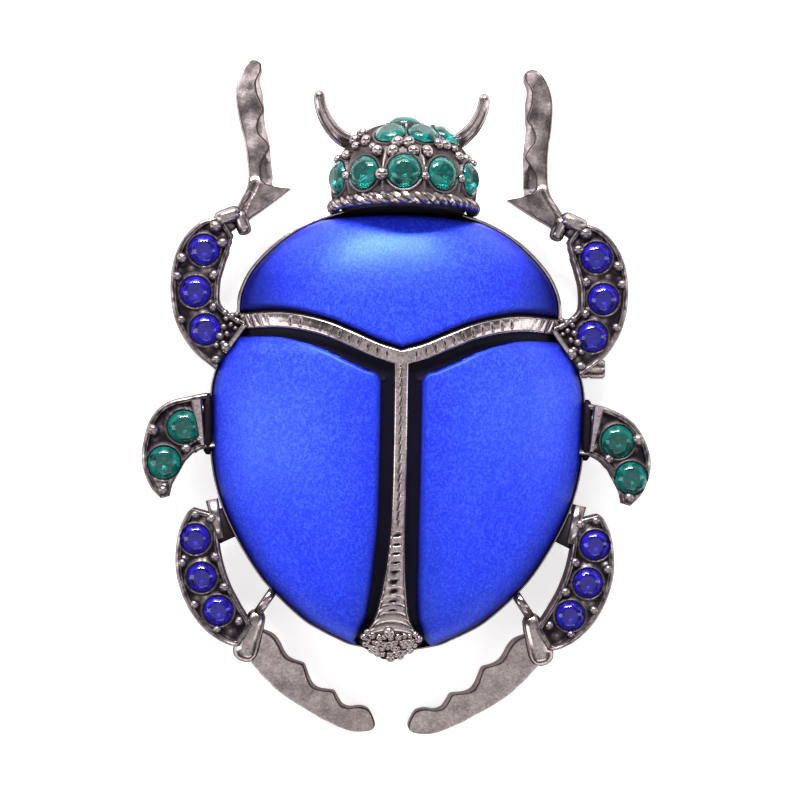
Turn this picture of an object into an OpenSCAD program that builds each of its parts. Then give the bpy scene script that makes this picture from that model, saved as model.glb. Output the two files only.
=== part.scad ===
// Scarab brooch: a cast body with six legs, inlaid enamel and faceted stones, lying on its back.
// Millimetres. +Y points to the head, +Z out of the face, and the lowest point lies at zero.

/* [Body] */
// Width across the wing cases, with the rim
body_w = 32.1; // [29:0.1:35]
// Length of the body plate, from the neck to the tail
body_l = 38.1; // [36:0.1:40]
// Place of the neck end of the plate, ahead of the middle
neck_y = 16.2; // [15.4:0.1:17]
// Room under the back plate for the pin
pin_room = 3.2; // [2.8:0.1:4]
// Thickness of the back plate
plate_t = 0.9; // [0.7:0.1:1.4]
// Height of the rim wall over the plate
rim_h = 0.8; // [0.6:0.1:1.2]
// Width of the rim wall
rim_w = 0.4; // [0.3:0.05:0.6]
// Rise of the dome over the rim
dome_h = 6.2; // [5:0.1:7]

/* [Enamel] */
// Thickness of the blue enamel
enamel_t = 1.1; // [0.9:0.05:1.3]
// Thickness of the black enamel in the channel
channel_t = 0.3; // [0.2:0.05:0.4]
// Width of the black channel beside the ridge
channel_w = 1; // [0.8:0.05:1.2]
// Depth by which the edge of the blue enamel rolls down
edge_drop = 0.45; // [0.2:0.05:0.6]
// Width of that rolled edge
edge_roll = 0.9; // [0.5:0.1:1.4]
// Gap between an enamel field and the metal round it
enamel_gap = 0.08; // [0.06:0.02:0.2]
// Gap between an enamel field and the bed under it
bed_gap = 0.14; // [0.1:0.02:0.2]

/* [Ridge] */
// Width of the arms of the ridge
arm_w = 1.45; // [1.2:0.05:1.7]
// Place of the point where the arms meet, ahead of the middle
arm_y = 3.45; // [3:0.05:4]
// Rise of the arms from that point to the sides
arm_rise = 3.15; // [2.6:0.05:3.6]
// Width of the stem at its narrowest
stem_w = 1.2; // [1:0.05:1.5]
// Width of the flared tail
fan_w = 5.4; // [4.6:0.1:6]
// Height of a rib over the ridge
rib_h = 0.22; // [0.1:0.02:0.3]
// Spacing of the ribs
rib_pitch = 0.85; // [0.75:0.05:1.1]

/* [Head] */
// Radius of the head
head_r = 6.35; // [5.9:0.05:6.7]
// Length of the head, from the collar to its end
head_l = 7.1; // [6.7:0.1:7.5]
// Gap from the plate to the collar, bridged by the neck
neck_l = 0.25; // [0.2:0.05:0.6]
// Radius of the neck
neck_r = 5.1; // [4.6:0.1:5.4]
// Height of the head's own axis over the plate's underside
head_axis_h = 1.3; // [0.9:0.1:1.8]
// Angle by which the top of the head leans forward
head_pitch = 5; // [0:1:8]
// Offset of the head to the right, as on the real casting
head_shift = 0.2; // [0:0.05:0.3]
// Thickness of the rope collar
rope_d = 1.3; // [1.1:0.05:1.5]
// Twists of the rope that show, from side to side
rope_twists = 19; // [17:1:23]
// Thickness of a horn at its root
horn_root_d = 1.25; // [1:0.05:1.5]
// Thickness of a horn at its tip
horn_tip_d = 0.72; // [0.6:0.02:0.9]
// Forward reach of a horn
horn_l = 3.6; // [3:0.1:4]
// Outward reach of a horn
horn_out = 2.3; // [2:0.1:3]

/* [Stones] */
// Diameter of the stones round the head
head_stone_d = 2.85; // [2.6:0.05:3]
// Diameter of the stones on top of the head
crown_stone_d = 2.7; // [2.4:0.05:2.8]
// Diameter of the stones in the front legs
front_stone_d = 2.6; // [2.4:0.05:2.7]
// Diameter of the stones in the middle legs
mid_stone_d = 2.7; // [2.4:0.05:2.8]
// Diameter of the stones in the rear legs
rear_stone_d = 2.5; // [2.3:0.05:2.6]
// Gap between a stone and its seat
stone_gap = 0.06; // [0.04:0.01:0.08]

/* [Beads] */
// Diameter of a prong bead on a leg
leg_bead_d = 0.8; // [0.7:0.05:0.9]
// Diameter of a prong bead on the head
head_bead_d = 0.85; // [0.7:0.05:0.95]

/* [Legs] */
// Thickness of a leg, up to its border
leg_t = 2.2; // [2:0.05:2.4]
// Depth of the sunk floor inside the border
leg_sink = 0.4; // [0.3:0.05:0.5]
// Width of the raised border
border_w = 0.5; // [0.4:0.05:0.6]
// Thickness of a toothed blade
blade_t = 1.7; // [1.5:0.05:2]
// Width of the bevel on a blade's upper edge
blade_bevel = 0.28; // [0.2:0.02:0.34]

/* [Front legs] */
// Place where a front leg leaves the body, ahead of the middle
front_hip_y = 4.4; // [4:0.1:4.8]
// Length of the front thigh, along the body
front_thigh_l = 10.2; // [9.6:0.1:10.8]
// Outward bow of the front thigh
front_bow = 3.15; // [2.8:0.05:3.5]
// Width of the front thigh
front_thigh_w = 4.25; // [4:0.05:4.5]
// Length of the front blade, from the knuckle to its tip
front_blade_l = 14; // [13:0.1:15]
// Width of the front blade
front_blade_w = 2; // [1.8:0.05:2.2]
// Angle by which both front blades lean to the left, as on the real casting
front_blade_lean = 3.2; // [0:0.2:5]

/* [Middle legs] */
// Place where a middle leg leaves the body, behind the middle
mid_hip_y = 2.2; // [1.8:0.1:2.6]
// Outward reach of a middle leg
mid_reach = 4.2; // [3.8:0.1:4.6]
// Rearward reach of a middle leg
mid_drop = 6.4; // [6:0.1:6.8]
// Width of a middle leg
mid_w = 4.5; // [4.2:0.05:4.8]

/* [Rear legs] */
// Place where the rear leg's stub leaves the body, behind the middle
rear_hip_y = 9.7; // [9.3:0.1:10.1]
// Length of the stub that carries the rear thigh
rear_stub_l = 1.7; // [1.5:0.05:1.9]
// Length of the rear thigh, along the body
rear_thigh_l = 10.6; // [10.2:0.1:11]
// Inward sweep of the rear thigh
rear_sweep = 3.8; // [3.5:0.05:4.1]
// Width of the rear thigh
rear_thigh_w = 4.1; // [3.9:0.05:4.3]
// Length of the barrel knuckle
barrel_l = 4.6; // [4.2:0.1:5]
// Thickness of the barrel knuckle
barrel_d = 2; // [1.8:0.05:2.2]
// Inward reach of the rear blade
rear_blade_reach = 11.3; // [10.6:0.1:11.8]
// Rearward reach of the rear blade
rear_blade_drop = 8.35; // [7.8:0.05:8.8]

/* [Pin] */
// Width of the bar that is soldered on the back
bar_w = 3; // [2.4:0.1:3.6]
// Thickness of the bar
bar_t = 0.7; // [0.5:0.05:0.9]
// Diameter of the pin stem
stem_d = 1; // [0.8:0.05:1.2]
// Place of the pin, ahead of the middle
pin_y = 3.1; // [2.8:0.1:3.4]
// Place of the hinge, to the left of the middle
hinge_x = 12; // [11:0.2:12.6]
// Place of the end of the catch, to the right of the middle
catch_end_x = 18.1; // [17.6:0.1:18.4]
// Length of the catch barrel
catch_l = 3.8; // [3.2:0.1:4.4]
// Diameter of the catch barrel
catch_d = 1.7; // [1.5:0.05:1.9]
// Gap between the bar and the back plate
bar_gap = 0.05; // [0.03:0.01:0.1]

/* [Hidden] */
SIDES = ["left", "right"];
HEAD_STONES = 9;

gunmetal = "#7d7371";
satin_blue = "#323cf0";
black_enamel = "#0b0616";
sea_green = "#0b8f88";
sapphire = "#2a12d8";

plate_top = pin_room + plate_t;
rim_z = plate_top + rim_h;
overlap = 0.3;

// Curves through short tables, whose first column rises from 0 to 1

function row_of(t, x, i = 0) = i >= len(t) - 2 || x <= t[i + 1][0] ? i : row_of(t, x, i + 1);
function slope_at(t, i, c) =
    let(a = max(i - 1, 0), b = min(i + 1, len(t) - 1)) (t[b][c] - t[a][c]) / (t[b][0] - t[a][0]);
function smooth(t, x, c) =
    let(
        i = row_of(t, x),
        span = t[i + 1][0] - t[i][0],
        s = max(0, min(1, (x - t[i][0]) / span)),
        rise_a = slope_at(t, i, c) * span,
        rise_b = slope_at(t, i + 1, c) * span
    )
    t[i][c] * (1 + 2 * s) * pow(1 - s, 2) + rise_a * s * pow(1 - s, 2)
    + t[i + 1][c] * pow(s, 2) * (3 - 2 * s) + rise_b * pow(s, 2) * (s - 1);
function mix(a, b, t) = a + (b - a) * t;
function unit(v) = v / norm(v);
function rim_normal(loop, i) =
    let(n = len(loop), d = unit(loop[(i + 1) % n] - loop[(i + n - 1) % n])) [d[1], -d[0]];

// Solids from rings and grids of points

function flat(rows) = [for (row = rows, p = row) p];
function strip(a, b, c, d) = [[a, b, c], [a, c, d]];
function ring_faces(rings, count) =
    [for (i = [0:rings - 2], j = [0:count - 1])
        let(k = (j + 1) % count, a = i * count, b = a + count)
        each strip(a + j, b + j, b + k, a + k)];

// A closed solid through rings of equal count, with flat ends
module loft(rings) {
    count = len(rings[0]);
    last = (len(rings) - 1) * count;
    polyhedron(flat(rings), concat(
        ring_faces(len(rings), count),
        [[for (j = [0:count - 1]) j]],
        [[for (j = [count - 1:-1:0]) last + j]]
    ));
}

// A closed solid between an upper and a lower grid, rows from head to tail, columns towards +X
module shell(top, bottom) {
    rows = len(top);
    cols = len(top[0]);
    under = rows * cols;
    polyhedron(concat(flat(top), flat(bottom)), concat(
        [for (i = [0:rows - 2], j = [0:cols - 2])
            let(a = i * cols + j, b = a + cols) each strip(a, a + 1, b + 1, b)],
        [for (i = [0:rows - 2], j = [0:cols - 2])
            let(a = under + i * cols + j, b = a + cols) each strip(a, b, b + 1, a + 1)],
        [for (i = [0:rows - 2])
            let(a = i * cols, b = a + cols) each strip(a, b, under + b, under + a)],
        [for (i = [0:rows - 2])
            let(a = i * cols + cols - 1, b = a + cols) each strip(b, a, under + a, under + b)],
        [for (j = [0:cols - 2]) each strip(j + 1, j, under + j, under + j + 1)],
        [for (j = [0:cols - 2])
            let(a = (rows - 1) * cols + j) each strip(a, a + 1, under + a + 1, under + a)]
    ));
}

module mirrored(side) {
    if (side == "left") mirror([1, 0, 0]) children();
    else children();
}

module both_sides() {
    for (side = SIDES) mirrored(side) children();
}

// Outline and dome of the body: along from neck to tail, half width over body_w / 2, crest over dome_h
BODY = [
    [0, 0.31, 0.36], [0.018, 0.44, 0.42], [0.045, 0.57, 0.5], [0.084, 0.69, 0.62], [0.136, 0.8, 0.75],
    [0.189, 0.858, 0.85], [0.228, 0.868, 0.89], [0.268, 0.875, 0.92], [0.302, 0.9, 0.94],
    [0.333, 0.95, 0.96], [0.399, 0.997, 0.99], [0.504, 1, 1], [0.583, 0.985, 0.98], [0.661, 0.937, 0.93],
    [0.74, 0.85, 0.84], [0.819, 0.732, 0.7], [0.871, 0.625, 0.58], [0.924, 0.485, 0.42],
    [0.958, 0.355, 0.28], [0.976, 0.27, 0.19], [1, 0.09, 0.08]
];
DOME_FULLNESS = 2.4;

function along(y) = (neck_y - y) / body_l;
function body_y(share) = neck_y - share * body_l;
function half_w(y) = body_w / 2 * smooth(BODY, along(y), 1);
function rim_half(y) = body_w / 2 * lookup(along(y), [for (row = BODY) [row[0], row[1]]]);
// Half width inside the rim wall, whose thickness is measured square to the outline
function inside_half(y) =
    let(
        here = rim_half(y),
        slope = max(abs(rim_half(y + rim_w) - here), abs(here - rim_half(y - rim_w))) / rim_w
    )
    here - rim_w * norm([1, slope]);
function dome_z(x, y) =
    rim_z + dome_h * smooth(BODY, along(y), 2) * (1 - pow(min(1, abs(x) / half_w(y)), DOME_FULLNESS));
function bed_z(x, y) = max(plate_top, dome_z(x, y) - enamel_t - bed_gap);

OUTLINE = concat(
    [for (row = BODY) [half_w(body_y(row[0])), body_y(row[0])]],
    [for (i = [len(BODY) - 1:-1:0]) [-half_w(body_y(BODY[i][0])), body_y(BODY[i][0])]]
);

module back_plate() {
    translate([0, 0, pin_room]) linear_extrude(plate_t) polygon(OUTLINE);
    translate([0, 0, pin_room]) linear_extrude(plate_t + rim_h) difference() {
        polygon(OUTLINE);
        offset(delta = -rim_w) polygon(OUTLINE);
    }
}

// Columns of the raised bed, as shares of its half width; flat strips lie beside it
BED_COLUMNS = [-1, -0.88, -0.7, -0.48, -0.24, 0, 0.24, 0.48, 0.7, 0.88, 1];
BED_ROWS = [for (i = [0:17]) mix(0.003, 0.99, i / 17)];

// Share of the half width at which the raised bed meets the flat plate
function bed_edge(y) =
    let(rise = dome_h * smooth(BODY, along(y), 2))
    pow(max(0.04, 1 - (plate_top + enamel_t + bed_gap - rim_z) / rise), 1 / DOME_FULLNESS);
function bed_row(y) =
    let(side = rim_half(y) - rim_w / 2, raised = min(side * 0.98, half_w(y) * bed_edge(y)))
    concat([[-side, y]], [for (u = BED_COLUMNS) [u * raised, y]], [[side, y]]);

module bed() {
    grid = [for (a = BED_ROWS) bed_row(body_y(a))];
    shell(
        [for (row = grid) [for (p = row) [p[0], p[1], bed_z(p[0], p[1])]]],
        [for (row = grid) [for (p = row) [p[0], p[1], plate_top - plate_t / 2]]]
    );
}

// The V line of the arms: share of the half span, share of the rise
V_LINE = [[0, 0], [0.15, 0.2], [0.3, 0.48], [0.45, 0.75], [0.6, 0.92], [0.75, 1], [1, 0.96]];
arm_span = half_w(arm_y + arm_rise) - rim_w / 2;

function v_share(x) = smooth(V_LINE, min(1, abs(x) / arm_span), 1);
function arm_mid(x) = arm_y + arm_rise * v_share(x);
function arm_bank(x) =
    let(d = 0.02 * arm_span) atan2(arm_mid(abs(x) + d) - arm_mid(max(0, abs(x) - d)), 2 * d);
function wing_top(x) = arm_mid(x) - (arm_w / 2 + channel_w) / cos(arm_bank(x));

// Flare of the stem into the tail: along the stem, share from stem_w to fan_w, proud share
STEM = [
    [0, 0, 0], [0.5, 0, 0], [0.6, 0.03, 0], [0.72, 0.14, 0.2], [0.8, 0.27, 0.4], [0.86, 0.42, 0.6],
    [0.92, 0.78, 0.9], [0.955, 1, 1], [0.98, 0.88, 1], [1, 0.62, 0.8]
];
FAN_PROUD = 0.75;
ARM_PROUD = 0.04;
stem_l = arm_y + body_l - neck_y + overlap / 2;

function stem_half(y) =
    mix(stem_w, fan_w, smooth(STEM, max(0, min(1, (arm_y - y) / stem_l)), 1)) / 2;

// One ring of the ridge across its run: the middle, the direction across, half width, height added
function ridge_ring(p, across, half, up) =
    let(
        side = across * half,
        base = bed_z(p[0], p[1]) - overlap,
        crest = dome_z(p[0], p[1]) - enamel_t / 8 + up,
        low = crest - enamel_t * 0.45
    )
    [
        [p[0] - side[0], p[1] - side[1], base],
        [p[0] - side[0], p[1] - side[1], low],
        [p[0] - side[0] * 0.55, p[1] - side[1] * 0.55, crest],
        [p[0] + side[0] * 0.55, p[1] + side[1] * 0.55, crest],
        [p[0] + side[0], p[1] + side[1], low],
        [p[0] + side[0], p[1] + side[1], base]
    ];

module stem() {
    ribs = round(stem_l / rib_pitch);
    loft([for (i = [0:2 * ribs])
        let(share = i / (2 * ribs), y = arm_y - share * stem_l)
        ridge_ring([0, y], [-1, 0], stem_half(y), (i % 2) * rib_h + FAN_PROUD * smooth(STEM, share, 2))]);
}

module arms() {
    ribs = round(arm_span / rib_pitch);
    loft([for (i = [-2 * ribs:2 * ribs])
        let(x = arm_span * i / (2 * ribs), a = sign(i) * arm_bank(x))
        ridge_ring([x, arm_mid(x)], [sin(a), -cos(a)], arm_w / 2, abs(i % 2) * rib_h + ARM_PROUD)]);
}

module ridge() {
    stem();
    arms();
}

// Head: share of head_l, share of head_r
HEAD = [
    [0, 0.95], [0.16, 0.98], [0.36, 0.975], [0.57, 0.9], [0.73, 0.79], [0.855, 0.64], [0.95, 0.48], [1, 0.33]
];
collar_y = neck_y + neck_l;
head_axis_z = pin_room + head_axis_h;

function head_surface(s) = head_r * smooth(HEAD, s, 1);

// Places its children on the head: angle from the top, share of the length, lean of the normal
module on_head(around, share, lean, sink = 0) {
    translate([head_shift, collar_y, head_axis_z]) rotate([-head_pitch, 0, 0]) rotate([0, around, 0])
        translate([0, share * head_l, head_surface(share)]) rotate([-lean, 0, 0])
            translate([0, 0, -sink]) children();
}

module head_bulk() {
    translate([head_shift, collar_y, head_axis_z]) rotate([-head_pitch, 0, 0]) rotate([-90, 0, 0]) {
        rotate_extrude($fn = 26) polygon(concat(
            [[0, 0]],
            [for (i = [0:8]) [head_surface(i / 8), i / 8 * head_l]],
            [[0, head_l]]
        ));
        translate([0, 0, -neck_l - overlap]) cylinder(h = neck_l + 2 * overlap, r = neck_r, $fn = 26);
    }
}

// Rope collar: a half ring whose two strands wind round each other, to a little under the head's sides
ROPE_REACH = 96;

module rope_collar() {
    steps = 3 * rope_twists;
    sides = 8;
    loft([for (i = [0:steps])
        let(turn = mix(-ROPE_REACH, ROPE_REACH, i / steps), wind = 180 * i / 3)
        [for (j = [0:sides - 1])
            let(
                a = -360 * j / sides,
                r = rope_d / 2 * (0.84 + 0.16 * cos(2 * (a + wind / 2))),
                out = head_r * 0.97 + r * cos(a)
            )
            [out * sin(turn), r * sin(a), out * cos(turn)]]]);
}

module collar() {
    translate([head_shift, collar_y, head_axis_z]) rotate([-head_pitch, 0, 0]) rope_collar();
}

// A horn rises from the head's side in a quarter curve
HORN_ROOT = [0.72, 0.8, 0.06];

module horn() {
    rings = 9;
    root = [HORN_ROOT[0] * head_r, collar_y + HORN_ROOT[1] * head_l, head_axis_z + HORN_ROOT[2] * head_r];
    loft([for (i = [-1:rings + 1])
        let(
            t = max(0, min(1, i / rings)),
            a = 92 * t,
            p = root + [horn_out * sin(a), horn_l * (1 - cos(a)), horn_root_d * sin(a)],
            d = unit([horn_out * cos(a), horn_l * sin(a), horn_root_d * cos(a)]),
            e = unit(cross(d, [0, 0, 1])),
            f = cross(d, e),
            tip = i > rings ? 0.45 : 1,
            r = mix(horn_root_d, horn_tip_d, t) / 2 * tip,
            q = i > rings ? p + d * horn_tip_d * 0.3 : i < 0 ? p - d * horn_root_d : p
        )
        [for (j = [0:7]) q + r * (cos(45 * j) * e + sin(45 * j) * f)]]);
}

// Stones of the head: angle from the top, share of the length, lean of the normal, 1 on the crown
HEAD_SEATS = [
    [-67, 0.305, 2, 0], [-35.5, 0.305, 2, 0], [-2.5, 0.305, 2, 0], [29.5, 0.305, 2, 0], [62, 0.305, 2, 0],
    [-18, 0.81, 47, 1], [18, 0.81, 47, 1], [57, 0.84, 47, 1], [-2, 0.99, 80, 1]
];

function head_stone_size(i) = HEAD_SEATS[i][3] == 1 ? crown_stone_d : head_stone_d;

module at_head_seat(i) {
    seat = HEAD_SEATS[i];
    on_head(seat[0], seat[1], seat[2]) children();
}

// Prong beads of the head: angle from the top, share of the length
HEAD_BEADS = concat(
    [for (a = [-51.5:32.5:46]) [a, 0.305]],
    [for (a = [-67:32.5:63], d = [-8, 8]) [a + d, 0.56]],
    [for (a = [-54:36:54], d = [-8, 8]) [a + d, 0.67]],
    [[-46, 0.83], [-62, 0.85]]
);

// A prong bead: a small faceted dome
module bead(d) {
    ring = [for (k = [0:7]) [cos(45 * k), sin(45 * k)] * d / 2];
    loft([
        [for (p = ring) [p[0] * 0.9, p[1] * 0.9, -d * 0.5]],
        [for (p = ring) [p[0], p[1], 0]],
        [for (p = ring) [p[0] * 0.6, p[1] * 0.6, d * 0.42]]
    ]);
}

module head() {
    difference() {
        union() {
            head_bulk();
            for (b = HEAD_BEADS) on_head(b[0], b[1], 0, head_bead_d * 0.1) bead(head_bead_d);
            translate([head_shift / 2, 0, 0]) both_sides() horn();
        }
        for (i = [0:HEAD_STONES - 1]) at_head_seat(i) seat_pocket(head_stone_size(i));
    }
    collar();
}

// A cut stone: table, star and upper facets, and a point below
STONE_TABLE = 0.56;
STONE_CROWN = 0.17;
STONE_DEPTH = 0.4;

module stone(d) {
    girdle = 16;
    table = [for (k = [0:7]) [cos(45 * k + 22.5), sin(45 * k + 22.5), 0] * STONE_TABLE * d / 2
        + [0, 0, STONE_CROWN * d]];
    rim = [for (k = [0:girdle - 1]) [cos(22.5 * k), sin(22.5 * k), 0] * d / 2];
    polyhedron(concat(table, rim, [[0, 0, -STONE_DEPTH * d]]), concat(
        [[7, 6, 5, 4, 3, 2, 1, 0]],
        [for (k = [0:7]) [k, (k + 1) % 8, 8 + (2 * k + 2) % girdle]],
        [for (k = [0:7]) [k, 8 + 2 * k + 1, 8 + 2 * k]],
        [for (k = [0:7]) [k, 8 + (2 * k + 2) % girdle, 8 + 2 * k + 1]],
        [for (k = [0:girdle - 1]) [8 + k, 8 + (k + 1) % girdle, 8 + girdle]]
    ));
}

// The pocket that seats a stone, open above it
module seat_pocket(d) {
    widen = 1 + 2 * stone_gap * 1.4 / d;
    depth = STONE_DEPTH * d * widen;
    translate([0, 0, -depth]) cylinder(h = depth, r1 = 0, r2 = d / 2 * widen, $fn = 16);
    cylinder(h = STONE_CROWN * d * 1.5, r = d / 2 * widen, $fn = 16);
}

// Thighs and middle legs: along the run, out and back shares of the leg's reach, width share
FRONT_THIGH = [
    [0, 0, 0, 1.15], [0.15, 0.57, 0.12, 1.05], [0.34, 0.94, 0.3, 0.97], [0.56, 1, 0.55, 1],
    [0.74, 0.84, 0.75, 1], [0.88, 0.54, 0.9, 0.86], [0.95, 0.29, 0.97, 0.62], [1, 0.14, 1, 0.42]
];
MID_LEG = [
    [0, -0.03, 0, 1], [0.2, 0.3, 0.04, 0.98], [0.4, 0.64, 0.16, 0.98], [0.6, 0.88, 0.39, 0.88],
    [0.76, 0.95, 0.59, 0.74], [0.9, 0.95, 0.81, 0.47], [1, 0.87, 1, 0.16]
];
REAR_THIGH = [
    [0, 0, 0, 0.62], [0.06, 0.04, 0.055, 0.86], [0.25, 0.12, 0.24, 0.92], [0.46, 0.05, 0.47, 1],
    [0.66, -0.16, 0.68, 1], [0.82, -0.46, 0.84, 0.92], [0.94, -0.78, 0.95, 0.74], [1, -1, 1, 0.52]
];

front_hip = [half_w(front_hip_y) - overlap, front_hip_y];
mid_hip = [half_w(-mid_hip_y), -mid_hip_y];
rear_hip = [half_w(-rear_hip_y) + rear_stub_l, -rear_hip_y];

// A limb holds its table, its root, and its reach sideways, lengthways and across
FRONT = [FRONT_THIGH, front_hip, [front_bow, front_thigh_l], front_thigh_w];
MID = [MID_LEG, mid_hip, [mid_reach, -mid_drop], mid_w];
REAR = [REAR_THIGH, rear_hip, [rear_sweep, -rear_thigh_l], rear_thigh_w];

function limb_mid(limb, s) =
    limb[1] + [smooth(limb[0], s, 1) * limb[2][0], smooth(limb[0], s, 2) * limb[2][1]];
function limb_half(limb, s) = limb[3] * smooth(limb[0], s, 3) / 2;
function limb_across(limb, s) =
    let(d = unit(limb_mid(limb, min(1, s + 0.01)) - limb_mid(limb, max(0, s - 0.01)))) [d[1], -d[0]];
function limb_point(limb, s, side) =
    limb_mid(limb, s) + limb_across(limb, s) * side * limb_half(limb, s);

leg_floor = pin_room + leg_t - leg_sink;

// Cross-section of a limb: flat back, raised border on both sides, sunk floor between
function limb_ring(limb, s) =
    let(
        p = limb_mid(limb, s),
        n = limb_across(limb, s),
        half = limb_half(limb, s),
        inner = max(half * 0.3, half - border_w),
        top = pin_room + leg_t,
        section = [
            [-half, pin_room], [-half, top - leg_sink * 0.6], [mix(-half, -inner, 0.4), top],
            [-inner, leg_floor], [inner, leg_floor],
            [mix(half, inner, 0.4), top], [half, top - leg_sink * 0.6], [half, pin_room]
        ]
    )
    [for (q = section) [p[0] + n[0] * q[0], p[1] + n[1] * q[0], q[1]]];

module limb(l, rings = 11) {
    loft([for (i = [0:rings]) limb_ring(l, i / rings)]);
}

module on_limb(l, seat, z) {
    p = limb_point(l, seat[0], seat[1]);
    translate([p[0], p[1], z]) children();
}

// Stones in a limb: along the run, side share
FRONT_SEATS = [[0.78, 0.02], [0.47, -0.02], [0.18, 0.12]];
MID_SEATS = [[0.28, -0.16], [0.67, 0]];
REAR_SEATS = [[0.24, -0.14], [0.52, -0.02], [0.78, 0]];

// Prong beads on a limb: along the run, side share
FRONT_BEADS = [
    [0.93, 0.3], [0.9, -0.5], [0.68, 0.7], [0.62, -0.7], [0.57, 0.74], [0.31, 0.74], [0.31, -0.66],
    [0.03, 0.7], [0.02, 0.15]
];
MID_BEADS = [[0.52, 0.72], [0.17, 0.66], [0.45, -0.72], [0.92, 0]];
REAR_BEADS = [
    [0.05, -0.5], [0.05, 0.5], [0.38, 0.72], [0.4, -0.72], [0.65, 0.72], [0.67, -0.7], [0.92, 0.45]
];

module leg_stones(l, seats, d) {
    for (seat = seats) on_limb(l, seat, leg_floor) seat_pocket(d);
}

module leg_beads(l, beads) {
    for (b = beads) on_limb(l, b, pin_room + leg_t - leg_sink / 2) bead(leg_bead_d);
}

module dressed_limb(l, seats, d, beads) {
    difference() {
        union() {
            limb(l);
            leg_beads(l, beads);
            children();
        }
        leg_stones(l, seats, d);
    }
}

// A knuckle: a bevelled block across the limb
KNUCKLE = [3, 1.35, 0.3];

module knuckle(p, turn, h) {
    translate([p[0], p[1], pin_room]) rotate([0, 0, turn]) hull() {
        translate([-KNUCKLE[0] / 2 + KNUCKLE[2], -KNUCKLE[1] / 2 + KNUCKLE[2], 0])
            cube([KNUCKLE[0] - 2 * KNUCKLE[2], KNUCKLE[1] - 2 * KNUCKLE[2], h]);
        translate([-KNUCKLE[0] / 2, -KNUCKLE[1] / 2, KNUCKLE[2]])
            cube([KNUCKLE[0], KNUCKLE[1], h - 2 * KNUCKLE[2]]);
    }
}

// A blade: a toothed outline whose solid droops evenly from the knuckle to the tip on the ground.
// Points are inward and lengthways shares of the blade's reach, and droop follows one of them.
module blade(root, reach, table, droop_column) {
    ring = [for (row = table) [root[0] + row[0] * reach[0], root[1] + row[1] * reach[1]]];
    fall = [for (row = table) -pin_room * row[droop_column]];
    inset = [for (i = [0:len(ring) - 1]) ring[i] - rim_normal(ring, i) * blade_bevel];
    loft([
        [for (i = [0:len(ring) - 1]) [ring[i][0], ring[i][1], pin_room + fall[i]]],
        [for (i = [0:len(ring) - 1]) [ring[i][0], ring[i][1], pin_room + fall[i] + blade_t - blade_bevel]],
        [for (i = [0:len(ring) - 1]) [inset[i][0], inset[i][1], pin_room + fall[i] + blade_t]]
    ]);
}

// Front blade outline: inward share of front_blade_w, forward share of front_blade_l
FRONT_BLADE = [
    [0.1, 0], [0.28, 0.083], [0.6, 0.17], [0.75, 0.24], [0.78, 0.31], [0.68, 0.44], [0.56, 0.52],
    [0.45, 0.6], [0.42, 0.72], [0.46, 0.83], [0.62, 0.91], [0.95, 0.975], [1.3, 1], [1.55, 0.985],
    [1.58, 0.95], [1.36, 0.895], [1.24, 0.82], [1.38, 0.72], [1.46, 0.69], [1.25, 0.61], [1.16, 0.55],
    [1.36, 0.52], [1.68, 0.45], [1.4, 0.37], [1.24, 0.31], [1.24, 0.25], [1.55, 0.225], [2.42, 0.2],
    [2, 0.13], [1.6, 0.085], [0.95, 0.03], [0.7, 0]
];
// Rear blade outline: inward share of rear_blade_reach, rearward share of rear_blade_drop
REAR_BLADE = [
    [0.02, -0.1], [0.14, -0.05], [0.23, 0.02], [0.265, 0.14], [0.3, 0.21], [0.34, 0.25], [0.44, 0.3],
    [0.47, 0.42], [0.52, 0.53], [0.57, 0.56], [0.67, 0.58], [0.7, 0.64], [0.745, 0.73], [0.83, 0.75],
    [0.9, 0.735], [0.955, 0.77], [0.985, 0.85], [1, 0.93], [0.98, 0.975], [0.93, 0.995], [0.84, 1],
    [0.74, 0.965], [0.6, 0.87], [0.46, 0.76], [0.34, 0.66], [0.23, 0.55], [0.12, 0.4], [0.05, 0.29],
    [-0.02, 0.2]
];

front_knee = limb_mid(FRONT, 1);
rear_knee = limb_mid(REAR, 1);
// Turn of the front knuckle, and the places of the knuckle and of the blade's root beside the knee
KNUCKLE_TURN = -28;
KNUCKLE_SHIFT = [-0.25, 0.3];
BLADE_SHIFT = [-0.1, 0.3];
// Width of the stub and of the strut, and the strut's place as a share of body_l from the neck
STUB_W = 2.6;
STRUT_W = 0.75;
STRUT_PLACE = 0.856;

module front_leg(lean) {
    dressed_limb(FRONT, FRONT_SEATS, front_stone_d, FRONT_BEADS);
    knuckle(front_knee + KNUCKLE_SHIFT, KNUCKLE_TURN, leg_t);
    translate(front_knee + BLADE_SHIFT) rotate([0, 0, lean])
        blade([0, 0], [-front_blade_w, front_blade_l], FRONT_BLADE, 1);
}

module mid_leg() {
    dressed_limb(MID, MID_SEATS, mid_stone_d, MID_BEADS);
}

// The barrel lies across the end of the rear thigh, with bevelled rounded ends
BARREL_LEAN = 17;
BARREL_SHIFT = 0.4;

module barrel() {
    centre = [rear_knee[0] - BARREL_SHIFT, rear_knee[1], pin_room + barrel_d / 2];
    translate(centre) rotate([0, 0, BARREL_LEAN]) hull() {
        for (end = [-1, 1]) translate([0, end * (barrel_l / 2 - barrel_d * 0.2), 0]) rotate([90, 0, 0])
            cylinder(h = barrel_d * 0.01, d = barrel_d, center = true, $fn = 10);
        for (end = [-1, 1]) translate([0, end * (barrel_l / 2), 0]) rotate([90, 0, 0])
            cylinder(h = barrel_d * 0.01, d = barrel_d * 0.5, center = true, $fn = 10);
    }
}

// A straight bar of metal from one point to another, a little wider at its root
LINK_FLARE = 1.12;

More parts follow.
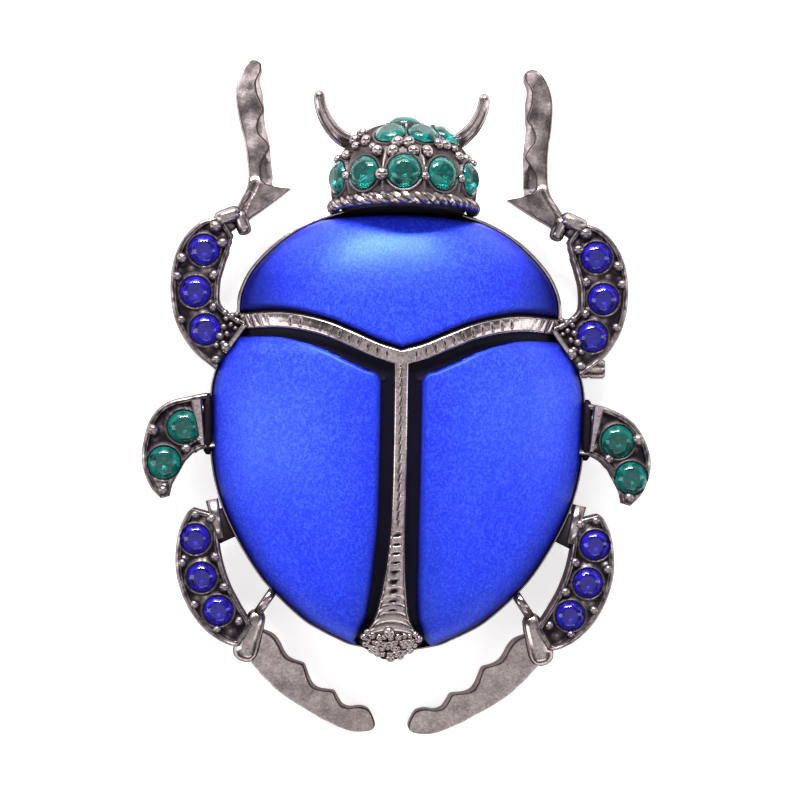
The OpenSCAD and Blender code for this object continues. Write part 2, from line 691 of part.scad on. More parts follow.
module link(a, b, width, height) {
    turn = atan2(b[1] - a[1], b[0] - a[0]);
    hull() for (end = [[a, LINK_FLARE], [b, 1]])
        translate([end[0][0], end[0][1], pin_room + height / 2]) rotate([0, 0, turn])
            cube([height * 0.01, width * end[1], height], center = true);
}

// A point of the rim wall's middle, and the direction straight out of it
function rim_point(y) = [rim_half(y) - rim_w / 2, y];
function rim_out(y) = unit([1, -(rim_half(y + rim_w) - rim_half(y - rim_w)) / (2 * rim_w)]);

module rear_leg() {
    stub_y = -rear_hip_y - STUB_W * 0.35;
    stub_root = rim_point(stub_y);
    stub_end = stub_root + rim_out(stub_y) * (rear_stub_l + border_w);
    barrel_top = rear_knee - [BARREL_SHIFT, 0] + barrel_l * 0.45 * [-sin(BARREL_LEAN), cos(BARREL_LEAN)];
    dressed_limb(REAR, REAR_SEATS, rear_stone_d, REAR_BEADS)
        link(stub_root, stub_end, STUB_W, leg_t - leg_sink);
    barrel();
    link(rim_point(body_y(STRUT_PLACE)), barrel_top, STRUT_W, leg_t - leg_sink);
    blade(rear_knee, [-rear_blade_reach, -rear_blade_drop], REAR_BLADE, 0);
}

module cast_body() {
    color(gunmetal) {
        back_plate();
        bed();
        ridge();
        difference() {
            head();
            translate([-body_w, neck_y - body_w, pin_room - body_w]) cube([2 * body_w, 2 * body_w, body_w]);
        }
        for (side = SIDES) mirrored(side) {
            front_leg(side == "left" ? -front_blade_lean : front_blade_lean);
            mid_leg();
            rear_leg();
        }
    }
}

// Blue enamel fields: the top follows the dome and rolls down along every edge
GRID_SHARES = [0, 0.035, 0.12, 0.26, 0.42, 0.58, 0.74, 0.88, 0.965, 1];

function roll(d) = edge_drop * pow(max(0, 1 - d / edge_roll), 2);
function edge_distance(s, t, size_s, size_t) = min(min(s, 1 - s) * size_s, min(t, 1 - t) * size_t);
function enamel_top(p, d) = [p[0], p[1], dome_z(p[0], p[1]) - roll(d)];
function enamel_floor(p) =
    [p[0], p[1], max(plate_top + enamel_gap, dome_z(p[0], p[1]) - enamel_t)];

module enamel_field(points, drops) {
    rows = len(points) - 1;
    cols = len(points[0]) - 1;
    color(satin_blue) shell(
        [for (i = [0:rows]) [for (j = [0:cols]) enamel_top(points[i][j], drops[i][j])]],
        [for (i = [0:rows]) [for (j = [0:cols]) enamel_floor(points[i][j])]]
    );
}

pronotum_front = neck_y - 0.55;
pronotum_side = pronotum_front - 0.45;
PRONOTUM_COLUMNS = [-1, -0.965, -0.88, -0.74, -0.56, -0.37, -0.18, 0, 0.18, 0.37, 0.56, 0.74, 0.88, 0.965, 1];

function edge_x(y) = inside_half(y) - enamel_gap;
function pronotum_point(u, v) =
    let(
        low = arm_w / 2 + enamel_gap * 1.5,
        side_y = mix(pronotum_side, arm_mid(arm_span) + low, v),
        x = u * edge_x(side_y),
        rim_y = arm_mid(x) + low / cos(arm_bank(x)),
        front_y = mix(pronotum_front, pronotum_side, pow(u, 2))
    )
    [x, mix(front_y, rim_y, v)];

module pronotum_enamel() {
    enamel_field(
        [for (v = GRID_SHARES) [for (u = PRONOTUM_COLUMNS) pronotum_point(u, v)]],
        [for (v = GRID_SHARES) [for (u = PRONOTUM_COLUMNS)
            edge_distance((u + 1) / 2, v, body_w, neck_y - arm_y)]]
    );
}

// Rows of a wing case: share down the stem side, share down the outer side
WING_ROWS = [
    [0, 0], [0.04, 0.05], [0.13, 0.13], [0.24, 0.24], [0.35, 0.35], [0.46, 0.45], [0.57, 0.555],
    [0.68, 0.665], [0.78, 0.765], [0.87, 0.86], [0.94, 0.935], [0.98, 0.98], [1, 1]
];
wing_tail_y = neck_y - body_l * 0.965;
wing_foot_y = neck_y - body_l * 0.967;

function stem_edge(y) = stem_half(y) + channel_w + enamel_gap;
function wing_point(u, v) =
    let(
        in_top = wing_top(stem_edge(arm_y - channel_w)) - enamel_gap,
        out_top = wing_top(edge_x(arm_y)) - enamel_gap,
        in_y = mix(in_top, wing_tail_y, v[0]),
        out_y = mix(out_top, wing_foot_y, v[1]),
        in_x = stem_edge(in_y),
        x = mix(in_x, edge_x(out_y), u),
        arch = wing_top(mix(stem_edge(arm_y), edge_x(out_top), u)) - enamel_gap - mix(in_top, out_top, u)
    )
    [x, mix(in_y, out_y, u) + arch * pow(1 - v[0], 2)];

module elytron(side) {
    mirrored(side) enamel_field(
        [for (v = WING_ROWS) [for (u = GRID_SHARES) wing_point(u, v)]],
        [for (v = WING_ROWS) [for (u = GRID_SHARES)
            edge_distance(u, v[0], mix(body_w / 2, fan_w / 2, v[0]), arm_y - wing_tail_y)]]
    );
}

// Black enamel: a strip along the arm and down the stem
module channel_enamel(side) {
    bend_x = stem_half(arm_y) + channel_w / 2;
    end_x = arm_span - rim_w - channel_w;
    tail_y = neck_y - body_l * 0.95;
    steps = 12;
    strip_w = channel_w - 2 * enamel_gap;
    arm_run = [for (i = [0:steps])
        let(x = mix(end_x, bend_x, i / steps))
        [x, arm_mid(x) - (arm_w + channel_w) / 2 / cos(arm_bank(x))]];
    stem_run = [for (i = [1:steps + 4])
        let(y = mix(arm_run[steps][1], tail_y, i / (steps + 4))) [stem_half(y) + channel_w / 2, y]];
    run = concat(arm_run, stem_run);
    last = len(run) - 1;
    function across(i) = let(d = unit(run[min(last, i + 1)] - run[max(0, i - 1)])) [d[1], -d[0]];
    function edge(i, side_share, z) =
        let(p = run[i] + across(i) * side_share * strip_w / 2)
        [p[0], p[1], bed_z(p[0], p[1]) + z];
    color(black_enamel) mirrored(side) loft([for (i = [0:last]) [
        edge(i, -1, bed_gap), edge(i, -1, bed_gap + channel_t),
        edge(i, 1, bed_gap + channel_t), edge(i, 1, bed_gap)
    ]]);
}

module head_stone(i) {
    color(sea_green) at_head_seat(i) stone(head_stone_size(i));
}

module leg_stone(side, l, seat, d, hue) {
    color(hue) mirrored(side) on_limb(l, seat, leg_floor) stone(d);
}

// Pin fitting on the back: bar, hinge block, stem and catch barrel in one piece
module pin_clasp() {
    bar_z = pin_room - bar_gap - bar_t;
    bar_end = catch_end_x - catch_l;
    stem_z = catch_d / 2;
    color(gunmetal) {
        translate([-hinge_x, pin_y - bar_w / 2, bar_z])
            cube([hinge_x + bar_end + catch_l / 3, bar_w, bar_t]);
        translate([-hinge_x, pin_y + bar_w / 2, stem_z]) rotate([90, 0, 0])
            cylinder(h = bar_w, d = catch_d, $fn = 48);
        translate([-hinge_x - catch_d / 2, pin_y - bar_w / 2, stem_z])
            cube([catch_d, bar_w, bar_z + bar_t - stem_z]);
        translate([-hinge_x, pin_y, stem_z]) rotate([0, 90, 0])
            cylinder(h = hinge_x + bar_end + catch_l / 2, d = stem_d, $fn = 48);
        translate([bar_end, pin_y, stem_z]) rotate([0, 90, 0]) cylinder(h = catch_l, d = catch_d, $fn = 48);
        translate([bar_end, pin_y - catch_d / 4, stem_z])
            cube([catch_l / 3, catch_d / 2, bar_z + bar_t - stem_z]);
    }
}

cast_body();
pin_clasp();
pronotum_enamel();
elytron("left");  // elytron_left
elytron("right");  // elytron_right
channel_enamel("left");  // channel_enamel_left
channel_enamel("right");  // channel_enamel_right
for (i = [1:HEAD_STONES])
    head_stone(i - 1);
for (s = SIDES, i = [1:3])
    leg_stone(s, FRONT, FRONT_SEATS[i - 1], front_stone_d, sapphire);
for (s = SIDES, i = [1:2])
    leg_stone(s, MID, MID_SEATS[i - 1], mid_stone_d, sea_green);
for (s = SIDES, i = [1:3])
    leg_stone(s, REAR, REAR_SEATS[i - 1], rear_stone_d, sapphire);
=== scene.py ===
import math

import bmesh
import bpy
import numpy as np
from mathutils import Matrix, Vector


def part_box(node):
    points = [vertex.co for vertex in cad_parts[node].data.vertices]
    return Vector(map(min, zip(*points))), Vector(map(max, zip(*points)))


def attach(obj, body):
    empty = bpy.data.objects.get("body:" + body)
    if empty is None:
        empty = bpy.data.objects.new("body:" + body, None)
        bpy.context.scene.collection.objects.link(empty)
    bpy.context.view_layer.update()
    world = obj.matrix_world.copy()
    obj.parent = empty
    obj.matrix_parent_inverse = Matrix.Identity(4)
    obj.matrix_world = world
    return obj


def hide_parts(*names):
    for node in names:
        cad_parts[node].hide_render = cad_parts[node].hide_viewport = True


# Looks of a scarab brooch: a plated casting with its pin, blue and black enamel, 25 foiled glass stones.
# Lengths are millimetres until a mesh is made. +Y points to the head and +Z out of the face.

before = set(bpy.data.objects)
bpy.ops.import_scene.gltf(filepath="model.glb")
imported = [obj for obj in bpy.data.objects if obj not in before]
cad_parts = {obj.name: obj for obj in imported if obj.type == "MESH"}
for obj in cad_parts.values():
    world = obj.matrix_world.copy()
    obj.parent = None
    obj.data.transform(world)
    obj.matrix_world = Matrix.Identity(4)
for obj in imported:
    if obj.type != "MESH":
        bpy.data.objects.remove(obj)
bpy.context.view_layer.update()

MM = 0.001
SIDES = (("left", -1), ("right", 1))

# Sizes of the casting, as in the part's source; stem, horns and borders are a little stouter
BODY_W, BODY_L, NECK_Y = 32.1, 38.1, 16.2
PIN_ROOM, PLATE_T, RIM_H, DOME_H = 3.2, 0.9, 0.8, 6.2
PLATE_TOP = PIN_ROOM + PLATE_T
RIM_Z = PLATE_TOP + RIM_H
DOME_FULLNESS = 2.4
ENAMEL_T, CHANNEL_T, CHANNEL_W, BED_GAP = 1.1, 0.3, 1.0, 0.14
ARM_W, ARM_Y, ARM_RISE = 1.45, 3.45, 3.15
STEM_W, FAN_W, FAN_PROUD = 1.3, 5.4, 0.75
HEAD_R, HEAD_L, NECK_L, NECK_R = 6.35, 7.1, 0.25, 5.1
HEAD_AXIS_Z, HEAD_PITCH, HEAD_SHIFT = PIN_ROOM + 1.3, 5, 0.2
COLLAR_Y = NECK_Y + NECK_L
HORN_ROOT_D, HORN_TIP_D, HORN_L, HORN_OUT, HORN_SHIFT = 1.4, 0.98, 3.65, 2.45, -0.17
PRONG_R = 0.5
LEG_T, LEG_SINK, BORDER_W = 2.2, 0.4, 0.58
LEG_TOP = PIN_ROOM + LEG_T
LEG_FLOOR = LEG_TOP - LEG_SINK
BLADE_T = 1.7

# Width of the rim wall beside the pronotum and beside the wing cases
RIM_W_FRONT, RIM_W_REAR = 0.34, 0.15
# The blue enamel falls off to its edges in a wide soft slope and a narrow roll: depth and width of each
SLOPE_DROP, SLOPE_W = 0.14, 1.7
ROLL_DROP, ROLL_W = 0.34, 0.36
# Gap between an enamel field and the metal beside it
FIELD_GAP = 0.02

# Outline and dome: along from neck to tail, half width over half of BODY_W, crest over DOME_H
BODY = np.array([
    [0, 0.31, 0.36], [0.018, 0.44, 0.46], [0.045, 0.57, 0.57], [0.084, 0.69, 0.69], [0.136, 0.8, 0.8],
    [0.189, 0.858, 0.87], [0.228, 0.868, 0.9], [0.268, 0.875, 0.925], [0.302, 0.9, 0.942],
    [0.333, 0.95, 0.96], [0.399, 0.997, 0.99], [0.504, 1, 1], [0.583, 0.985, 0.98], [0.661, 0.937, 0.93],
    [0.74, 0.85, 0.84], [0.819, 0.732, 0.7], [0.871, 0.622, 0.58], [0.924, 0.478, 0.42],
    [0.946, 0.388, 0.34], [0.9636, 0.3, 0.25], [0.975, 0.235, 0.2], [0.985, 0.11, 0.16],
])
# The stem leans a little to the left towards the tail
SWAY = np.array([[-24, -0.42], [-21, -0.4], [-16, -0.22], [-11, -0.05], [-7, 0], [20, 0]])
# The V line of the arms: share of the half span, share of the rise
V_LINE = np.array([[0, 0], [0.15, 0.2], [0.3, 0.48], [0.45, 0.75], [0.6, 0.92], [0.75, 1], [1, 0.96]])
# Flare of the stem into the tail: along the stem, share from STEM_W to FAN_W, proud share
STEM = np.array([
    [0, 0, 0], [0.5, 0, 0], [0.6, 0.03, 0], [0.72, 0.14, 0.2], [0.8, 0.27, 0.4], [0.86, 0.42, 0.6],
    [0.92, 0.8, 0.9], [0.945, 0.95, 1], [0.96, 0.8, 1], [0.974, 0.5, 0.95], [0.985, 0.2, 0.85], [1, 0, 0.5],
])
# Head: share of HEAD_L, share of HEAD_R
HEAD = np.array([
    [0, 0.95], [0.16, 0.98], [0.36, 0.975], [0.57, 0.9], [0.73, 0.79], [0.855, 0.64], [0.95, 0.48], [1, 0.33],
])
# Row of the lower stones along the head, and the two sizes of stones
LOWER_ROW, LOWER_STONE_D, CROWN_STONE_D = 0.305, 2.85, 2.7
# Stones of the head: angle from the top, share of the length, lean of the normal, diameter
HEAD_SEATS = [(around, LOWER_ROW, 2, LOWER_STONE_D) for around in (-67, -35.5, -2.5, 29.5, 62)] + [
    (-18, 0.81, 47, CROWN_STONE_D), (18, 0.81, 47, CROWN_STONE_D), (57, 0.84, 47, CROWN_STONE_D),
    (-2, 0.99, 80, CROWN_STONE_D),
]
# Thin upright walls between the lower stones, as angles from the top
HEAD_WALLS = (-82, -51.5, -19, 13.5, 46, 78)
# Prong beads of the head: angle from the top, share of the length, share of the bead size
HEAD_BEADS = [
    (-51.5, 0.29, 0.8), (-19, 0.27, 1.2), (13.5, 0.25, 0.8), (46, 0.27, 0.75), (-58, 0.56, 0.9),
    (-24.5, 0.56, 1.05), (-12, 0.55, 1.1), (5, 0.56, 1.05), (16.5, 0.56, 1.1), (48, 0.55, 0.9),
    (61, 0.55, 0.85), (76, 0.53, 0.7), (-75, 0.55, 0.7), (-30, 0.62, 0.7), (-8.6, 0.67, 1.1),
    (1.3, 0.665, 1.1), (28.6, 0.67, 1), (36.5, 0.67, 1), (-40, 0.71, 1.05), (-60, 0.76, 1), (-58, 0.84, 1),
    (-50, 0.66, 0.8), (46, 0.64, 0.7),
]
# Thighs and middle legs: along the run, out and back shares of the leg's reach, width share
FRONT_THIGH = np.array([
    [0, 0, 0, 1.15], [0.15, 0.57, 0.12, 1.05], [0.34, 0.94, 0.3, 0.97], [0.56, 1, 0.55, 1],
    [0.74, 0.84, 0.75, 1], [0.88, 0.54, 0.9, 0.86], [0.95, 0.29, 0.97, 0.62], [1, 0.14, 1, 0.42],
])
MID_LEG = np.array([
    [0, -0.03, 0, 1], [0.2, 0.3, 0.04, 0.98], [0.4, 0.64, 0.16, 0.98], [0.6, 0.88, 0.39, 0.88],
    [0.76, 0.95, 0.59, 0.74], [0.9, 0.95, 0.81, 0.47], [1, 0.87, 1, 0.16],
])
REAR_THIGH = np.array([
    [0, -0.04, 0, 0.5], [0.06, 0, 0.055, 0.7], [0.25, 0.1, 0.24, 0.88], [0.46, 0.05, 0.47, 1],
    [0.66, -0.16, 0.68, 1], [0.82, -0.46, 0.84, 0.92], [0.94, -0.78, 0.95, 0.74], [1, -1, 1, 0.52],
])
# Blades, from the knuckle to the tip: outer edge and toothed edge of the face, each as shares of the reach
# sideways and lengthways, and how far the sloping wall goes on beyond the teeth in millimetres
FRONT_BLADE = np.array([
    [0.1, 0, 0.7, 0, 0.03], [0.19, 0.045, 0.95, 0.03, 0.03], [0.3, 0.088, 1.4, 0.072, 0.03],
    [0.42, 0.12, 1.95, 0.125, 0.03], [0.55, 0.155, 2.68, 0.2, 0.02], [0.7, 0.19, 2.05, 0.214, 0.05],
    [0.8, 0.22, 1.6, 0.238, 0.6], [0.86, 0.26, 1.44, 0.275, 1.0], [0.88, 0.31, 1.42, 0.335, 1.0],
    [0.86, 0.38, 1.6, 0.4, 0.55], [0.83, 0.44, 1.84, 0.458, 0.06], [0.78, 0.49, 1.66, 0.51, 0.3],
    [0.73, 0.54, 1.42, 0.55, 0.7], [0.66, 0.58, 1.36, 0.59, 0.7], [0.58, 0.64, 1.46, 0.645, 0.4],
    [0.52, 0.7, 1.66, 0.7, 0.05], [0.47, 0.76, 1.52, 0.76, 0.25], [0.46, 0.8, 1.4, 0.81, 0.45],
    [0.5, 0.86, 1.36, 0.865, 0.35], [0.58, 0.9, 1.46, 0.91, 0.15], [0.7, 0.945, 1.62, 0.955, 0.05],
    [0.86, 0.985, 1.62, 0.988, 0.03], [1.05, 1.008, 1.46, 1.012, 0.03], [1.2, 1.018, 1.3, 1.018, 0.02],
])
REAR_BLADE = np.array([
    [-0.04, 0, 0.1, -0.07, 0.1], [-0.03, 0.15, 0.2, 0, 0.175], [0.02, 0.24, 0.25, 0.09, 0.2],
    [0.05, 0.29, 0.275, 0.16, 0.2], [0.09, 0.35, 0.31, 0.225, 0.2], [0.12, 0.4, 0.36, 0.262, 0.175],
    [0.18, 0.48, 0.44, 0.3, 0.125], [0.22, 0.535, 0.458, 0.37, 0.175], [0.26, 0.58, 0.475, 0.44, 0.2],
    [0.31, 0.63, 0.515, 0.525, 0.2], [0.37, 0.685, 0.57, 0.56, 0.175], [0.45, 0.752, 0.67, 0.58, 0.125],
    [0.5, 0.79, 0.695, 0.64, 0.175], [0.56, 0.84, 0.74, 0.725, 0.175], [0.63, 0.89, 0.8, 0.75, 0.15],
    [0.72, 0.95, 0.875, 0.738, 0.075], [0.79, 0.985, 0.935, 0.758, 0.03], [0.86, 1.0, 0.975, 0.83, 0.02],
    [0.92, 0.998, 0.998, 0.92, 0.015], [0.965, 0.985, 0.985, 0.965, 0.01],
])
# Row of the front blade at which its edges keep a sharp corner
SPUR_ROW = 4


# Curves through short tables whose first column rises

def curve(table, x, column=1):
    keys, values = table[:, 0], table[:, column]
    place = np.arange(len(keys))
    before, after = np.maximum(place - 1, 0), np.minimum(place + 1, len(keys) - 1)
    slope = (values[after] - values[before]) / (keys[after] - keys[before])
    x = np.asarray(x, float)
    i = np.clip(np.searchsorted(keys, x, side="left") - 1, 0, len(keys) - 2)
    span = keys[i + 1] - keys[i]
    s = np.clip((x - keys[i]) / span, 0, 1)
    start = values[i] * (1 + 2 * s) * (1 - s) ** 2 + slope[i] * span * s * (1 - s) ** 2
    return start + values[i + 1] * s ** 2 * (3 - 2 * s) + slope[i + 1] * span * s ** 2 * (s - 1)


def mix(a, b, t):
    return a + (b - a) * t


def fade(x, start, finish):
    """0 up to start, 1 from finish on, and even between them."""
    return np.clip((x - start) / (finish - start), 0, 1)


def bump_at(x, centre, width):
    return np.exp(-((x - centre) / width) ** 2)


def unit(v):
    return v / np.linalg.norm(v, axis=-1, keepdims=True)


def turned(points, degrees, axis):
    m = np.array(Matrix.Rotation(math.radians(degrees), 3, axis))
    return np.asarray(points) @ m.T


# Solids from rings and grids of points

def grid_faces(rows, cols, closed=False):
    i, j = np.meshgrid(np.arange(rows - 1), np.arange(cols if closed else cols - 1), indexing="ij")
    k = (j + 1) % cols
    return np.stack([i * cols + j, i * cols + k, (i + 1) * cols + k, (i + 1) * cols + j], -1).reshape(-1, 4)


def loft(rings):
    """A closed solid through rings of equal count, with a flat face over the first and the last."""
    rings = np.asarray(rings, float)
    count = rings.shape[1]
    last = (len(rings) - 1) * count
    faces = grid_faces(len(rings), count, True).tolist()
    faces += [list(range(count)), list(range(last, last + count))]
    return rings.reshape(-1, 3), faces


def shell(top, bottom):
    """A closed solid between two grids of points, with walls round their edges."""
    rows, cols = top.shape[:2]
    under = rows * cols
    upper = grid_faces(rows, cols)
    place = np.arange(under).reshape(rows, cols)
    loop = np.concatenate([place[0, :-1], place[:-1, -1], place[-1, :0:-1], place[:0:-1, 0]])
    walls = [[a, b, b + under, a + under] for a, b in zip(loop, np.roll(loop, -1))]
    faces = upper.tolist() + (upper + under).tolist() + walls
    return np.concatenate([top.reshape(-1, 3), bottom.reshape(-1, 3)]), faces


def mirror(solid, sign):
    points, faces = solid
    return points * np.array([sign, 1, 1]), faces


def outward(mesh):
    work = bmesh.new()
    work.from_mesh(mesh)
    bmesh.ops.recalc_face_normals(work, faces=work.faces)
    work.to_mesh(mesh)
    work.free()


def note(mesh, name, values, domain="POINT"):
    """Writes one number for each point or face, for the materials to read."""
    mesh.attributes.new(name, "FLOAT", domain).data.foreach_set("value", np.asarray(values, np.float32))


def to_mesh(name, solids, shades=None):
    """One mesh from several (points, faces); shades tells for each how dark its points are, by patina in
    recesses or by painted shade.
    """
    points, faces, patina_and_shade, count = [], [], [], 0
    for k, (p, f) in enumerate(solids):
        points.append(p)
        faces += [[i + count for i in face] for face in f]
        patina_and_shade.append(np.broadcast_to(shades[k] if shades else 0.0, len(p)))
        count += len(p)
    mesh = bpy.data.meshes.new(name)
    mesh.from_pydata((np.concatenate(points) * MM).tolist(), [], faces)
    note(mesh, "patina_and_shade", np.concatenate(patina_and_shade))
    outward(mesh)
    return mesh


# Heights of a surface's normal below which painted shade is laid on it, and at which that painted shade is
# darkest
SHADED_BELOW, DARKEST_FROM = 0.62, 0.17


def paint_flank_shade(mesh, darkest):
    """Painted shade: what faces up stays bright, and the further a flank turns from straight up, the darker
    it is painted.
    """
    normal = np.zeros(len(mesh.vertices) * 3, np.float32)
    mesh.vertex_normals.foreach_get("vector", normal)
    patina_and_shade = mesh.attributes["patina_and_shade"].data
    dark = np.zeros(len(mesh.vertices), np.float32)
    patina_and_shade.foreach_get("value", dark)
    flank = darkest * fade(normal[2::3], SHADED_BELOW, DARKEST_FROM)
    patina_and_shade.foreach_set("value", np.maximum(dark, flank).astype(np.float32))


def piece(name, mesh, material, nodes, slot, sharp=35, bevel=0.0):
    """Hands a finished mesh to the frame; sharp is the angle from which an edge stays hard."""
    if not mesh.materials:
        mesh.materials.append(material)
    mesh.shade_smooth()
    mesh.set_sharp_from_angle(angle=math.radians(sharp))
    # The many-sided faces that close a loft are flat
    for polygon in mesh.polygons:
        polygon.use_smooth = len(polygon.vertices) <= 4
    obj = bpy.data.objects.new(name, mesh)
    bpy.context.scene.collection.objects.link(obj)
    if bevel:
        edge = obj.modifiers.new("bevel", "BEVEL")
        edge.width = bevel * MM
        edge.segments = 3
        edge.limit_method = "ANGLE"
        edge.angle_limit = math.radians(sharp)
    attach(obj, "root")
    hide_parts(*nodes)


def plated(name, mesh, node="cast_body", flank=0.8, **finish):
    """A piece of the plated casting; flank is how dark the painted shade on its steep sides is."""
    paint_flank_shade(mesh, flank)
    piece(name, mesh, METAL, (node,), "gunmetal", **finish)


def cast(name, solids, shades=None, **finish):
    plated(name, to_mesh(name, solids, shades), **finish)


def cast_pair(name, solids, shades=None, **finish):
    """The same solids on the left and on the right, given for the right."""
    for side, sign in SIDES:
        cast(f"{name}_{side}", [mirror(solid, sign) for solid in solids], shades, **finish)


# Materials

def linear(hex_colour):
    shares = [int(hex_colour[i:i + 2], 16) / 255 for i in (1, 3, 5)]
    return tuple(c / 12.92 if c <= 0.04045 else ((c + 0.055) / 1.055) ** 2.4 for c in shares) + (1.0,)


def fill(tree, node, inputs):
    """Links the sockets among the inputs to the node and sets the plain values on it."""
    for key, value in inputs.items():
        if isinstance(value, bpy.types.NodeSocket):
            tree.links.new(value, node.inputs[key])
        else:
            node.inputs[key].default_value = value


def add(tree, kind, inputs=None, **settings):
    node = tree.nodes.new(kind)
    for key, value in settings.items():
        setattr(node, key, value)
    fill(tree, node, inputs or {})
    return node


def new_material(name):
    mat = bpy.data.materials.new(name)
    mat.use_nodes = True
    tree = mat.node_tree
    shader = next(n for n in tree.nodes if n.type == "BSDF_PRINCIPLED")
    place = add(tree, "ShaderNodeTexCoord").outputs["Object"]
    return mat, tree, shader, place


def gunmetal_plating():
    """Black-nickel plating on a polished zinc casting: warm grey mirror, nearly black in its recesses and
    where painted shade is laid on.
    """
    mat, tree, shader, place = new_material("black_nickel_plating")
    patina_and_shade = add(tree, "ShaderNodeAttribute", attribute_name="patina_and_shade").outputs["Fac"]
    # Uneven polish in patches of about 1.5 mm
    patches = add(tree, "ShaderNodeTexNoise", {"Vector": place, "Scale": 1 / (1.5 * MM), "Detail": 3})
    polish = add(tree, "ShaderNodeMapRange", {
        "Value": patches.outputs["Fac"], "From Min": 0.3, "From Max": 0.7, "To Min": 0.13, "To Max": 0.24})
    # Fine pores of the cast skin, about 0.2 mm
    pores = add(tree, "ShaderNodeTexNoise", {"Vector": place, "Scale": 1 / (0.2 * MM), "Detail": 2})
    blend = add(tree, "ShaderNodeMix", {
        "Factor": 0.55, "A": patches.outputs["Fac"], "B": pores.outputs["Fac"]}, data_type="FLOAT")
    spread = add(tree, "ShaderNodeMapRange", {
        "Value": blend.outputs["Result"], "From Min": 0.35, "From Max": 0.65})
    tone = add(tree, "ShaderNodeMix", {
        "Factor": spread.outputs["Result"], "A": linear("#85797a"), "B": linear("#beb0b0")},
        data_type="RGBA")
    # Patina in the recesses and painted shade both darken the plating towards near black
    dark = add(tree, "ShaderNodeMix", {
        "Factor": patina_and_shade, "A": tone.outputs["Result"], "B": linear("#231d24")}, data_type="RGBA")
    # The blackened recesses were never polished, so they are rougher; the painted shade makes the plating
    # rougher in the same way
    raw = add(tree, "ShaderNodeMix", {
        "Factor": patina_and_shade, "A": polish.outputs["Result"], "B": 0.6}, data_type="FLOAT")
    # Dents left by hand polishing, about 0.9 mm wide
    dents = add(tree, "ShaderNodeTexNoise", {"Vector": place, "Scale": 1 / (0.9 * MM), "Detail": 2})
    relief = add(tree, "ShaderNodeBump", {
        "Height": dents.outputs["Fac"], "Strength": 0.15, "Distance": 0.04 * MM})
    fill(tree, shader, {
        "Base Color": dark.outputs["Result"], "Roughness": raw.outputs["Result"], "Metallic": 1.0,
        "Specular Tint": linear("#a89ca0"), "Normal": relief.outputs["Normal"]})
    return mat


def satin_enamel():
    """Blue stove enamel, metal flakes under a satin lacquer: a broad pale glow, darker where painted shade is
    laid on.
    """
    mat, tree, shader, place = new_material("satin_blue_enamel")
    painted_shade = add(tree, "ShaderNodeAttribute", attribute_name="patina_and_shade").outputs["Fac"]
    # Flakes of about 0.15 mm, each tilted its own way, over clouds of about 4 mm
    flakes = add(tree, "ShaderNodeTexVoronoi", {"Vector": place, "Scale": 1 / (0.15 * MM)})
    clouds = add(tree, "ShaderNodeTexNoise", {"Vector": place, "Scale": 1 / (4 * MM), "Detail": 1})
    blend = add(tree, "ShaderNodeMix", {
        "Factor": 0.8, "A": clouds.outputs["Fac"], "B": flakes.outputs["Color"]}, data_type="FLOAT")
    spread = add(tree, "ShaderNodeMapRange", {
        "Value": blend.outputs["Result"], "From Min": 0.4, "From Max": 1.0})
    colour = add(tree, "ShaderNodeMix", {
        "Factor": spread.outputs["Result"], "A": linear("#1c2ae4"), "B": linear("#4058ff")},
        data_type="RGBA")
    # Painted shade deepens the blue towards a dark navy
    deep = add(tree, "ShaderNodeMix", {
        "Factor": painted_shade, "A": colour.outputs["Result"], "B": linear("#0c0a58")}, data_type="RGBA")
    grain = add(tree, "ShaderNodeBump", {
        "Height": flakes.outputs["Color"], "Strength": 0.3, "Distance": 0.03 * MM})
    # The painted shade also weakens the lacquer's specular, so that the shaded places reflect less
    gloss = add(tree, "ShaderNodeMapRange", {"Value": painted_shade, "To Min": 0.5, "To Max": 0.1})
    fill(tree, shader, {
        "Base Color": deep.outputs["Result"], "Roughness": 0.38, "IOR": 1.6,
        "Specular IOR Level": gloss.outputs["Result"], "Specular Tint": linear("#9fe4ff"),
        "Normal": grain.outputs["Normal"]})
    return mat


def black_enamel():
    """Black epoxy enamel with a violet cast, poured into the channel and left to level: dark, half glossy."""
    mat, tree, shader, place = new_material("black_channel_enamel")
    # Slow waves of about 3 mm where the enamel settled
    waves = add(tree, "ShaderNodeTexNoise", {"Vector": place, "Scale": 1 / (3 * MM), "Detail": 1})
    tone = add(tree, "ShaderNodeMix", {
        "Factor": waves.outputs["Fac"], "A": linear("#07040f"), "B": linear("#0e0a20")}, data_type="RGBA")
    relief = add(tree, "ShaderNodeBump", {
        "Height": waves.outputs["Fac"], "Strength": 0.1, "Distance": 0.05 * MM})
    fill(tree, shader, {
        "Base Color": tone.outputs["Result"], "Roughness": 0.35, "IOR": 1.4, "Specular IOR Level": 0.1,
        "Normal": relief.outputs["Normal"]})
    return mat


def faceted(name, deep, bright, patch, glint_share, finish):
    """Colour of a cut stone: a little uneven over patches, and each facet painted lighter or darker as
    painted reflection.
    """
    mat, tree, shader, place = new_material(name)
    patches = add(tree, "ShaderNodeTexNoise", {"Vector": place, "Scale": 1 / (patch * MM), "Detail": 1})
    facet = add(tree, "ShaderNodeAttribute", attribute_name="facet").outputs["Fac"]
    level = add(tree, "ShaderNodeMix", {
        "Factor": glint_share, "A": patches.outputs["Fac"], "B": facet}, data_type="FLOAT")
    tone = add(tree, "ShaderNodeMix", {
        "Factor": level.outputs["Result"], "A": linear(deep), "B": linear(bright)}, data_type="RGBA")
    fill(tree, shader, {"Base Color": tone.outputs["Result"], **finish})
    return mat


def cut_glass(name, deep, bright):
    """Machine-cut lead glass: clear colour, each facet painted from deep to bright as painted reflection."""
    # Streaks of about 0.8 mm in the melt; a third of the light scatters, so that small stones stay bright
    return faceted(name, deep, bright, 0.8, 0.8, {"Roughness": 0.03, "IOR": 1.5, "Transmission Weight": 0.64})


